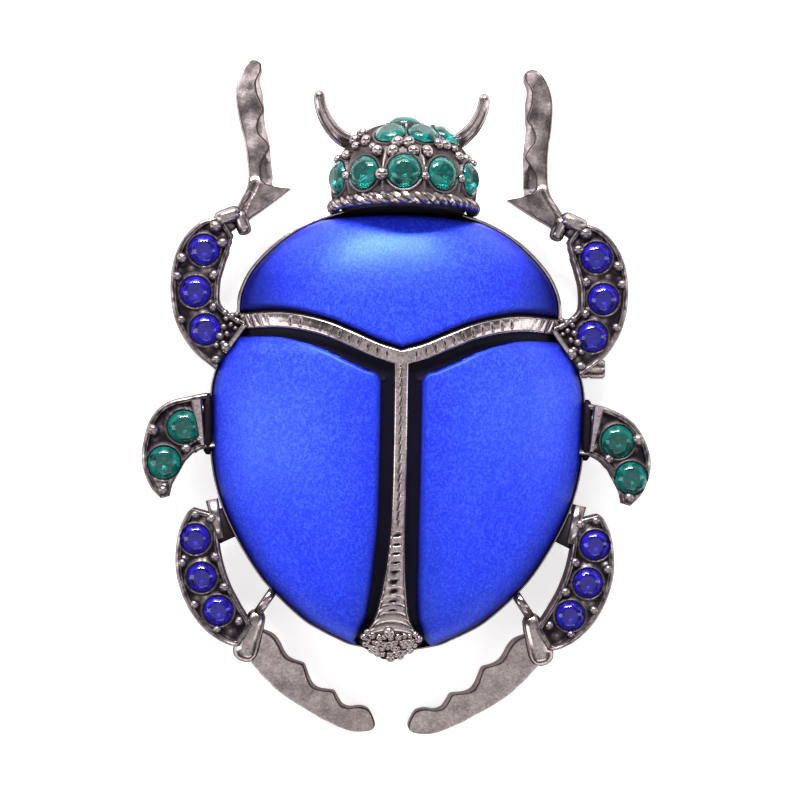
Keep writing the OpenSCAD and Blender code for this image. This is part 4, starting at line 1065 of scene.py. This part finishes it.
# Prong beads on a limb: along the run, side share, size share
FRONT_BEADS = [
    (0.93, 0.4, 1.1), (0.9, -0.5, 1), (0.68, 0.7, 0.95), (0.62, -0.7, 0.9), (0.57, 0.74, 0.9),
    (0.31, 0.74, 0.8), (0.31, -0.66, 0.8), (0.03, 0.7, 0.85), (0.02, 0.15, 1),
]
MID_BEADS = [(0.5, 0.68, 0.9), (0.17, 0.62, 0.8), (0.5, -0.75, 1.1), (0.14, -0.6, 0.8), (0.95, 0, 0.9)]
REAR_BEADS = [
    (0.05, -0.5, 0.8), (0.05, 0.5, 0.9), (0.38, 0.72, 0.9), (0.4, -0.72, 0.8), (0.65, 0.72, 0.9),
    (0.67, -0.7, 0.8), (0.92, 0.45, 0.8), (0.86, -0.6, 0.7),
]
# Raised border of a limb: distance from the edge over the border's width, drop below the top
BORDER = np.array([
    [0, -0.34], [0.08, -0.18], [0.2, -0.06], [0.38, -0.005], [0.6, -0.01], [0.78, -0.08], [0.9, -0.22],
    [1.0, -0.36], [1.15, -0.4], [9, -0.4],
])
# Columns of points over a border, as shares of its width
BORDER_COLUMNS = np.array([0, 0.05, 0.1, 0.18, 0.28, 0.4, 0.52, 0.64, 0.74, 0.83, 0.9, 0.97, 1.05, 1.15])
# Heights over the sunk floor: a leg stone's girdle, a bead's middle, the collar round a stone
STONE_RISE, BEAD_RISE, COLLAR_RISE = 0.14, 0.16, 0.22
# Cast lumps on the floor of a limb: how many, and the range of their size, height and brightness
LUMPS, LUMP_R, LUMP_H, LUMP_LIGHT = 46, (0.16, 0.34), (0.05, 0.17), (0.1, 0.5)


def limb_mid(limb, s):
    table, root, reach, _ = limb
    return root + np.stack([curve(table, s, 1) * reach[0], curve(table, s, 2) * reach[1]], -1)


def limb_half(limb, s):
    return limb[3] * curve(limb[0], s, 3) / 2


def limb_across(limb, s):
    d = unit(limb_mid(limb, np.minimum(1, s + 0.01)) - limb_mid(limb, np.maximum(0, s - 0.01)))
    return np.stack([d[..., 1], -d[..., 0]], -1)


def limb_point(limb, s, side):
    s = np.asarray(float(s))
    return limb_mid(limb, s) + limb_across(limb, s) * side * limb_half(limb, s)


def cast_skin(x, y):
    """Crossing waves of about 2 mm for the uneven skin of the borders, from -1 to 1."""
    return np.sin(3.9 * x + 1.7 * y + 2 * np.sin(2.3 * y)) * np.sin(3.1 * y - 2.2 * x + 1.5 * np.sin(3.1 * x))


def limb_solid(limb, seats, d, wraps):
    """A limb with a sunk floor; wraps says whether the border runs round its start and its finish."""
    s = np.linspace(0, 1, 170)
    middle, across, half = limb_mid(limb, s), limb_across(limb, s), limb_half(limb, s)
    border = np.minimum(BORDER_W, half * 0.6)
    left = -half[:, None] + border[:, None] * BORDER_COLUMNS[None, :]
    floor = mix(left[:, -1:], -left[:, -1:], np.linspace(0, 1, 26)[None, 1:-1])
    q = np.concatenate([left, floor, -left[:, ::-1]], 1)
    inset = (half[:, None] - np.abs(q)) / border[:, None]
    run = np.concatenate([[0], np.cumsum(np.linalg.norm(np.diff(middle, axis=0), axis=1))])
    for wrapped, away in zip(wraps, (run, run[-1] - run)):
        if wrapped:
            inset = np.minimum(inset, (away / border)[:, None])
    # A fine line runs along the border, and only its outermost edge is rubbed bright
    line = bump_at(inset, 0.56, 0.1)
    z = LEG_TOP + curve(BORDER, inset) - 0.07 * line
    flat = middle[:, None] + across[:, None] * q[..., None]
    skin = (0.36 + 0.4 * cast_skin(flat[..., 0], flat[..., 1])) * fade(inset, 0.1, 0.22)
    dark = np.clip(0.92 * fade(inset, 0.78, 1.03) + 0.7 * line + skin, 0, 1)
    rng = np.random.default_rng(len(seats))
    for _ in range(LUMPS):
        spot = limb_point(limb, rng.uniform(0.02, 0.97), rng.uniform(-0.75, 0.75))
        lump = bump_at(np.linalg.norm(flat - spot, axis=-1), 0, rng.uniform(*LUMP_R)) * (inset > 0.95)
        z += rng.uniform(*LUMP_H) * lump
        dark -= rng.uniform(*LUMP_LIGHT) * lump
    pocket = d / 2 + 0.05
    around = [np.linalg.norm(flat - limb_point(limb, *seat), axis=-1) for seat in seats]
    for r in around:
        collar = bump_at(r, pocket + 0.1, 0.14)
        z = np.maximum(z, LEG_FLOOR + COLLAR_RISE * collar)
        dark = np.minimum(dark, 1 - 0.25 * collar)
    for r in around:
        cup = LEG_FLOOR + STONE_RISE - 0.05 - 0.42 * d * (1 - r / pocket)
        z = np.where(r < pocket, np.minimum(z, cup), z)
        dark = np.where(r < pocket, 0.9, dark)
    # Sides and underside, whose edges are eased
    ease = 0.2
    right, right_foot = flat[:, -1], flat[:, -1] - across * ease
    left, left_foot = flat[:, 0], flat[:, 0] + across * ease
    lower = [(right, PIN_ROOM + ease), (right_foot, PIN_ROOM), (left_foot, PIN_ROOM), (left, PIN_ROOM + ease)]
    under = [np.column_stack([p, np.full(len(s), low)])[:, None] for p, low in lower]
    rings = np.concatenate([np.concatenate([flat, z[..., None]], -1), *under], 1)
    shade = np.concatenate([dark, np.zeros((len(s), 4))], 1)
    return loft(rings), shade.reshape(-1)


def leg_pair(name, stone_name, forms, all_seats, d, prongs, glass, slot, spin, wraps):
    """Thighs or middle legs of both sides with their beads and stones; spin is the first stone's turn."""
    for (side, sign), form, seats in zip(SIDES, forms, all_seats):
        solid, shade = limb_solid(form, seats, d, wraps)
        cast(f"{name}_{side}", [mirror(solid, sign)], [shade], sharp=50)
        points = np.array([[*limb_point(form, s, q), LEG_FLOOR + BEAD_RISE] for s, q, _ in prongs])
        beads(f"{name}_beads_{side}", points * [sign, 1, 1], PRONG_R, [size for _, _, size in prongs], 0.3)
        for k, seat in enumerate(seats):
            spot = np.array([*limb_point(form, *seat), LEG_FLOOR + STONE_RISE]) * [sign, 1, 1]
            stone(f"{stone_name}_{side}_{k + 1}", spot, np.array([0, 0, 1.0]), np.array([1.0, 0, 0]), d,
                  glass, slot, spin + 17 * k + 5 * sign)


def smooth_rows(rows, steps, corner=None):
    """Runs a curve through each column of a table without overshoot; one row may keep a corner."""
    step = np.diff(rows, axis=0)
    slope = np.zeros_like(rows)
    same_way = step[1:] * step[:-1] > 0
    slope[1:-1] = np.where(same_way, 2 * step[1:] * step[:-1] / (step[1:] + step[:-1] + 1e-12), 0)
    slope[0], slope[-1] = step[0], step[-1]
    start, finish = slope[:-1].copy(), slope[1:].copy()
    if corner is not None:
        finish[corner - 1], start[corner] = step[corner - 1], step[corner]
    t = (np.arange(steps) / steps)[:, None, None]
    out = rows[:-1] * (1 + 2 * t) * (1 - t) ** 2 + start * t * (1 - t) ** 2
    out = out + rows[1:] * t ** 2 * (3 - 2 * t) + finish * t ** 2 * (t - 1)
    return np.concatenate([out.transpose(1, 0, 2).reshape(-1, rows.shape[1]), rows[-1:]])


# Edges of a blade in millimetres: distance inside the edge, drop below the face, how blackened
OUTER_EDGE = [(0, -1.6, 0), (0, -0.3, 0), (0.04, -0.12, 0), (0.11, -0.03, 0), (0.22, 0, 0)]
TOOTHED_EDGE = [(0.2, 0, 0), (0.12, -0.05, 0.8), (0.05, -0.08, 0.9), (0.02, -0.01, 0.1), (0, -0.1, 0.1)]
# Widths of a blade under which its edges narrow and its drops shrink, so that the tip stays whole
NARROW, THIN = 0.9, 0.6
# A groove in a blade: depth and width of the cut, height of the burr beside it
CUT_DEPTH, CUT_W, BURR_H = 0.16, 0.17, 0.05


def blade(name, root, reach, table, droop, lean, sign, corner=None, grooves=()):
    """A flat face between a plain edge and a toothed one, with a sloping wall beyond the teeth.

    droop is the direction, 0 sideways or 1 lengthways, along which the blade sinks to the table.
    """
    rows = smooth_rows(table, 9, corner)
    outer, teeth = rows[:, :2] * reach, rows[:, 2:4] * reach
    across = teeth - outer
    width = np.linalg.norm(across, axis=1)
    across /= np.maximum(width, 1e-6)[:, None]
    fit = np.minimum(1, width / NARROW)
    columns = [(outer + across * (a * fit)[:, None], b, dark) for a, b, dark in OUTER_EDGE]
    start, finish = columns[-1][0], teeth - across * (TOOTHED_EDGE[0][0] * fit)[:, None]
    columns += [(start + (finish - start) * t, 0, 0) for t in np.linspace(0, 1, 16)[1:-1]]
    columns += [(teeth - across * (a * fit)[:, None], b, dark) for a, b, dark in TOOTHED_EDGE]
    foot = teeth + across * rows[:, 4:5]
    columns += [(mix(teeth, foot, 0.5), -0.3, 0.1), (foot, -0.8, 0), (foot, -1.6, 0)]
    flat = np.stack([c[0] for c in columns], 1)
    share = np.clip(flat[..., droop] / reach[droop], -0.2, 1)
    down = np.array([c[1] for c in columns])[None, :] * np.minimum(1, width / THIN)[:, None]
    dark = np.broadcast_to(np.array([float(c[2]) for c in columns]), flat.shape[:2]).copy()
    z = PIN_ROOM + BLADE_T - PIN_ROOM * share + down
    for groove in grooves:
        path = smooth_rows(np.array(groove) * reach, 12)
        away = np.linalg.norm(flat[:, :, None] - path[None, None], axis=-1).min(-1)
        cut = bump_at(away, 0, CUT_W)
        z += BURR_H * bump_at(away, 0.32, 0.2) - CUT_DEPTH * cut
        dark = np.maximum(dark, 0.95 * cut)
    low = np.maximum(z[:, [-1, 0]] - 0.1, 0.02)
    face = np.concatenate([flat, np.maximum(z, 0.05)[..., None]], -1)
    wall_foot = np.column_stack([flat[:, -1] - across * 0.12, low[:, 0]])
    edge_foot = np.column_stack([flat[:, 0] + across * 0.12, low[:, 1]])
    points, faces = loft(np.concatenate([face, wall_foot[:, None], edge_foot[:, None]], 1))
    points = turned(points, lean, "Z") + [root[0], root[1], 0]
    shade = np.concatenate([dark, np.zeros((len(dark), 2))], 1).reshape(-1)
    cast(name, [mirror((points, faces), sign)], [shade], sharp=25, flank=0.25)


# Knuckles, struts and other lumps of the casting, given for the right side

# Round knuckle: share of the length, share of the size
BARREL_ENDS = [
    (0, 0.3), (0.03, 0.6), (0.08, 0.82), (0.16, 0.95), (0.3, 1), (0.7, 1), (0.84, 0.95), (0.92, 0.82),
    (0.97, 0.6), (1, 0.3),
]
# The rear barrel swells towards its lower end
REAR_BARREL = [
    (0, 0.3), (0.03, 0.66), (0.08, 0.92), (0.16, 1.08), (0.28, 1.12), (0.5, 1.02), (0.75, 0.88), (0.9, 0.76),
    (0.97, 0.52), (1, 0.25),
]
BARREL_LEAN, BARREL_SHIFT, BARREL_L, BARREL_D = 17, 0.4, 4.6, 2.0
# Lumps of a front knuckle: from and to in the plan, width, height over the leg's, how blackened
FRONT_KNUCKLE = [
    ((15.9, 15.0), (13.7, 15.9), 1.5, 0.3, 0.15), ((13.95, 16.0), (13.25, 13.95), 1.25, 0, 0.1),
    ((14.9, 15.1), (14.3, 14.3), 0.9, -0.1, 0.7),
]
# Cast grains between the front hip and the arms: place in the plan, size share
HIP_GRAINS = [
    (14.9, 7.2, 1), (13.9, 7.1, 0.8), (13.4, 6.9, 0.7), (14.3, 6.9, 1.1), (13.8, 6.5, 0.9), (14.8, 6.7, 0.8),
    (14.4, 6.2, 0.8), (15.0, 6.0, 1), (14.7, 5.4, 0.9), (15.3, 5.2, 1.2), (15.0, 4.6, 1), (14.0, 5.9, 0.7),
    (13.3, 6.9, 0.8), (15.6, 4.4, 0.9),
]
HIP_GRAIN_R = 0.3
FRONT_REACH, REAR_REACH = (-2.0, 14.0), (-11.3, -8.35)
FRONT_BLADE_LEAN = 3.2
# The dark groove that parts the facets at a front blade's spur, as shares of the blade's reach
FRONT_GROOVES = [[[0.5, 0.03], [0.6, 0.08], [0.8, 0.14], [1.05, 0.205], [1.15, 0.24]]]
# The right rear blade was soldered a little lower
REAR_SLIP = {"left": np.array([0, 0]), "right": np.array([0.1, -0.12])}
REAR_STUB_Y, REAR_STRUT_Y = -REAR_HIP_Y - 0.9, -16.4


def barrel_rings(length, width, height, sections, sides=40):
    """Rings along Y with a full, nearly round outline."""
    spin = np.linspace(0, 2 * np.pi, sides, endpoint=False) + np.pi / sides
    power = 0.8
    x = np.sign(np.cos(spin)) * np.abs(np.cos(spin)) ** power * width / 2
    z = np.sign(np.sin(spin)) * np.abs(np.sin(spin)) ** power * height / 2
    return [np.stack([x * b, np.full(sides, (a - 0.5) * length), z * b], -1) for a, b in sections]


def knob(a, b, width, height):
    """A rounded cast lump from a to b in the plan."""
    a, b = np.array(a, float), np.array(b, float)
    points, faces = loft(barrel_rings(float(np.linalg.norm(b - a)), width, height, BARREL_ENDS))
    points = turned(points, math.degrees(math.atan2(b[1] - a[1], b[0] - a[0])) - 90, "Z")
    return points + [*((a + b) / 2), PIN_ROOM + height / 2], faces


def bar(a, b, width, height, width_b=None):
    """A straight bevelled bar between two points of the plan, lying level with the plate's underside."""
    a, b = np.array(a, float), np.array(b, float)
    d = unit(b - a)
    n = np.array([d[1], -d[0]])
    rings = []
    for p, full in ((a, width), (b, width if width_b is None else width_b)):
        half = full / 2
        edge = min(0.16, half * 0.4)
        section = [
            (-half, 0.1), (-half, height - edge), (-half + edge, height), (half - edge, height),
            (half, height - edge), (half, 0.1), (half - 0.1, 0), (-half + 0.1, 0)]
        rings.append([[*(p + n * q), PIN_ROOM + z] for q, z in section])
    return loft(rings)


def rim_point(y):
    return np.array([float(half_w(y)) - 0.2, y])


def rim_out(y):
    return unit(np.array([1, -(float(half_w(y + 0.4)) - float(half_w(y - 0.4))) / 0.8]))


def front_knees():
    root = limb_mid(FRONT, np.asarray(1.0)) + [-0.1, 0.3]
    for side, sign in SIDES:
        blade(f"front_blade_{side}", root, FRONT_REACH, FRONT_BLADE, 1, FRONT_BLADE_LEAN * sign, sign,
              SPUR_ROW, FRONT_GROOVES)
        spots = np.array([[x, y, LEG_TOP - 0.2] for x, y, _ in HIP_GRAINS]) * [sign, 1, 1]
        beads(f"hip_grains_{side}", spots, HIP_GRAIN_R, [size for _, _, size in HIP_GRAINS], 0.5)
    lumps = [knob(a, b, width, LEG_T + more) for a, b, width, more, _ in FRONT_KNUCKLE]
    cast_pair("front_knuckle", lumps, [dark for *_, dark in FRONT_KNUCKLE], sharp=50)
    # A pale band between the thigh and the wing case
    cast_pair("hip_band", [bar((13.2, 6.2), (14.9, 3.8), 0.5, LEG_T + 0.08)], sharp=30, bevel=0.06)


def rear_knees():
    knee = limb_mid(REAR, np.asarray(1.0))
    for side, sign in SIDES:
        blade(f"rear_blade_{side}", knee + REAR_SLIP[side], REAR_REACH, REAR_BLADE, 0, 0, sign)
    centre = np.array([knee[0] - BARREL_SHIFT, knee[1], PIN_ROOM + BARREL_D / 2])
    points, faces = loft(barrel_rings(BARREL_L, BARREL_D, BARREL_D, REAR_BARREL))
    cast_pair("rear_knuckle", [(turned(points, BARREL_LEAN, "Z") + centre, faces)], sharp=40)
    lean = math.radians(BARREL_LEAN)
    top = centre[:2] + BARREL_L * 0.45 * np.array([-math.sin(lean), math.cos(lean)])
    cast_pair("rear_strut", [bar(rim_point(REAR_STRUT_Y), top, 0.75, LEG_T - 0.4)], sharp=30)
    stub_end = rim_point(REAR_STUB_Y) + rim_out(REAR_STUB_Y) * (REAR_STUB_L + 0.5)
    stub = bar(rim_point(REAR_STUB_Y), stub_end, 2.7, LEG_T - 0.7)
    facet = bar((15.75, -8.75), (15.0, -12.0), 1.05, LEG_T + 0.02, 0.75)
    # The low stub is blackened nearly all over as painted shade beside the wing case; the facet stays bright
    cast_pair("rear_stub", [stub, facet], [0.95, 0.0], sharp=20)


def mid_roots():
    """A pale facet where the middle leg starts, and a wall between it and the wing case, black all over as
    painted shadow at the wing case's edge.
    """
    facet = bar((17.2, -0.25), (16.6, -4.1), 0.95, LEG_T + 0.12, 0.3)
    wall = knob((16.25, 0.35), (16.15, -4.9), 1.0, LEG_T + 0.1)
    # The wall's black is painted shadow
    cast_pair("mid_root", [facet, wall], [0, 1], sharp=20)


# Pin fitting on the back

def tube(a, b, d, sections=((0, 1), (1, 1))):
    """A round bar from a to b; sections give shares of the length and of the thickness."""
    a, b = np.array(a, float), np.array(b, float)
    ahead = unit(b - a)
    e = unit(np.cross(ahead, [0.1, 0.2, 1]))
    f = np.cross(ahead, e)
    spin = np.linspace(0, 2 * np.pi, 32, endpoint=False)[:, None]
    return loft([a + (b - a) * s + d / 2 * w * (np.cos(spin) * e + np.sin(spin) * f) for s, w in sections])


def upright(x0, x1, y0, y1, z0, z1):
    """A plain plate of the fitting, all of whose sides are hidden or tiny."""
    return loft([[[x0, y, z0], [x1, y, z0], [x1, y, z1], [x0, y, z1]] for y in (y0, y1)])


# Pin fitting: width and thickness of its bar, thickness of the hinge and catch, of the stem, catch length
PIN_BAR_W, PIN_BAR_T, CATCH_D, PIN_STEM_D, CATCH_L = 3.0, 0.7, 1.7, 1.0, 3.8
# Section of its bar: shares of half the width and of half the thickness
PIN_BAR_SECTION = ((-1, -0.6), (-0.94, -1), (0.94, -1), (1, -0.6), (1, 1), (-1, 1))
# Hinge barrel, pointed stem and grooved catch: shares of the length, shares of the thickness
HINGE_FORM = ((0, 0.8), (0.02, 0.94), (0.05, 1), (0.95, 1), (0.98, 0.94), (1, 0.8))
PIN_STEM_FORM = ((0, 1), (0.6, 1), (0.8, 0.85), (0.93, 0.5), (1, 0.1))
CATCH_FORM = (
    (0, 0.8), (0.03, 0.95), (0.08, 1), (0.6, 1), (0.62, 0.9), (0.66, 0.9), (0.68, 1), (0.95, 1), (1, 0.85))


def pin_clasp():
    low, high = (np.array(c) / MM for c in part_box("pin_clasp"))
    y = (low[1] + high[1]) / 2
    hinge_x, catch_x = low[0] + CATCH_D / 2, high[0] - CATCH_L
    z, top = CATCH_D / 2, high[2]
    half = PIN_BAR_W / 2
    plate = loft([
        [[x, y + a * half, top - PIN_BAR_T / 2 + b * PIN_BAR_T / 2] for a, b in PIN_BAR_SECTION]
        for x in (hinge_x, catch_x + CATCH_L / 3)])
    barrel = tube([hinge_x, y - half, z], [hinge_x, y + half, z], CATCH_D, HINGE_FORM)
    cheeks = [
        upright(hinge_x - z, hinge_x + z, *sorted((y + side * half, y + side * half * 0.55)), z, top)
        for side in (-1, 1)]
    stem = tube([hinge_x, y, z], [catch_x + CATCH_L / 2, y, z], PIN_STEM_D, PIN_STEM_FORM)
    catch = tube([catch_x, y, z], [high[0], y, z], CATCH_D, CATCH_FORM)
    post = loft([
        [[x, y + a * CATCH_D / 4, h] for a, h in ((-1, z), (1, z), (1, top), (-1, top))]
        for x in (catch_x, catch_x + CATCH_L / 3)])
    cast("pin_fitting", [plate, barrel, *cheeks, stem, catch, post], node="pin_clasp")


# Stage

# Light boxes: place, width and height, strength
SOFT_BOXES = {
    "head_side_box": ((-45, 280, 165), (260, 130), 7),
    "head_high_box": ((-25, 247, 197), (190, 34), 64),
    "left_box": ((-270, -20, 190), (110, 260), 3.6),
    "right_top_box": ((165, 0, 260), (70, 110), 1.2),
    "right_box": ((280, 20, 150), (70, 260), 3),
    "tail_box": ((40, -260, 170), (240, 60), 2.5),
}
# Height over the horizon, brightness of the tent there; how much darker it hangs on the head's side
TENT = ((0, 0.9), (0.25, 0.6), (0.45, 0.12), (0.68, 0.12), (0.78, 0.3), (0.87, 0.6), (1, 0.9))
TENT_LEAN, TENT_STRENGTH = -0.28, 1.1


def soft_box(name, place, size, strength):
    light = bpy.data.lights.new(name, "AREA")
    light.shape = "RECTANGLE"
    light.size, light.size_y = size[0] * MM, size[1] * MM
    light.energy = strength * math.pi * light.size * light.size_y
    obj = bpy.data.objects.new(name, light)
    obj.location = Vector(place) * MM
    obj.rotation_euler = (Vector((0, 0, 3)) - Vector(place)).to_track_quat("-Z", "Y").to_euler()
    bpy.context.scene.collection.objects.link(obj)


def table_floor():
    spread, steps = 900, 24
    line = np.linspace(-spread, spread, steps)
    x, y = np.meshgrid(line, line)
    points = np.stack([x, y, np.zeros_like(x)], -1).reshape(-1, 3) * MM
    mesh = bpy.data.meshes.new("table_floor")
    mesh.from_pydata(points.tolist(), [], grid_faces(steps, steps).tolist())
    outward(mesh)
    mesh.materials.append(light_table())
    floor = bpy.data.objects.new("table_floor", mesh)
    bpy.context.scene.collection.objects.link(floor)


def sky():
    """A soft white tent: bright towards the horizon, grey between, bright again straight above."""
    world = bpy.data.worlds.new("white_tent")
    bpy.context.scene.world = world
    world.use_nodes = True
    tree = world.node_tree
    tree.nodes.clear()
    way = add(tree, "ShaderNodeTexCoord").outputs["Generated"]
    parts = add(tree, "ShaderNodeSeparateXYZ", {"Vector": way})
    lean = add(tree, "ShaderNodeMath", {
        0: parts.outputs["Y"], 1: TENT_LEAN, 2: parts.outputs["Z"]}, operation="MULTIPLY_ADD")
    level = add(tree, "ShaderNodeValToRGB", {"Fac": lean.outputs["Value"]})
    ramp = level.color_ramp
    while len(ramp.elements) < len(TENT):
        ramp.elements.new(1)
    for element, (height, grey) in zip(ramp.elements, TENT):
        element.position = height
        element.color = (grey, grey, grey, 1)
    light = add(tree, "ShaderNodeBackground", {"Color": level.outputs["Color"], "Strength": TENT_STRENGTH})
    add(tree, "ShaderNodeOutputWorld", {"Surface": light.outputs["Background"]})


def camera():
    """The camera looks straight down on the brooch, a little from the left and from the tail."""
    target = np.array([0.154, 0.031, 5])
    distance, focal_length = 260, 136.88
    side, rise, roll = (math.radians(a) for a in (-2.487, -0.721, -0.973))
    back = np.array([math.sin(side) * math.cos(rise), math.sin(rise), math.cos(side) * math.cos(rise)])
    right = unit(np.cross([0, 1, 0], back))
    up = np.cross(back, right)
    right, up = math.cos(roll) * right - math.sin(roll) * up, math.sin(roll) * right + math.cos(roll) * up
    lens = bpy.data.cameras.new("camera")
    lens.sensor_width = 36
    lens.lens = focal_length
    lens.clip_start = 0.01
    obj = bpy.data.objects.new("camera", lens)
    bpy.context.scene.collection.objects.link(obj)
    axes = Matrix([right.tolist(), up.tolist(), back.tolist()]).transposed().to_4x4()
    obj.matrix_world = Matrix.Translation(((target + back * distance) * MM).tolist()) @ axes
    bpy.context.scene.camera = obj


body_plate()
enamel_bed()
ridge_arms()
ridge_stem()
fan_grains()
pronotum_field()
wing_fields()
channel_fields()
head_cap()
neck()
rope_collar()
horns()
head_beads()
head_stones()
leg_pair("front_thigh", "front_stone", [FRONT] * 2, [FRONT_SEATS] * 2, 2.6, FRONT_BEADS, SAPPHIRE,
         "sapphire_glass", spin=4, wraps=(0, 1))
leg_pair("mid_leg", "mid_stone", [MID_LEFT, MID], MID_SEATS, 2.8, MID_BEADS, SEA_GREEN,
         "sea_green_glass", spin=9, wraps=(0, 1))
leg_pair("rear_thigh", "rear_stone", [REAR] * 2, [REAR_SEATS] * 2, 2.5, REAR_BEADS, SAPPHIRE,
         "sapphire_glass", spin=13, wraps=(1, 1))
front_knees()
mid_roots()
rear_knees()
pin_clasp()

table_floor()
sky()
for name, (place, size, strength) in SOFT_BOXES.items():
    soft_box(name, place, size, strength)
camera()
bpy.context.scene.view_settings.view_transform = "Standard"
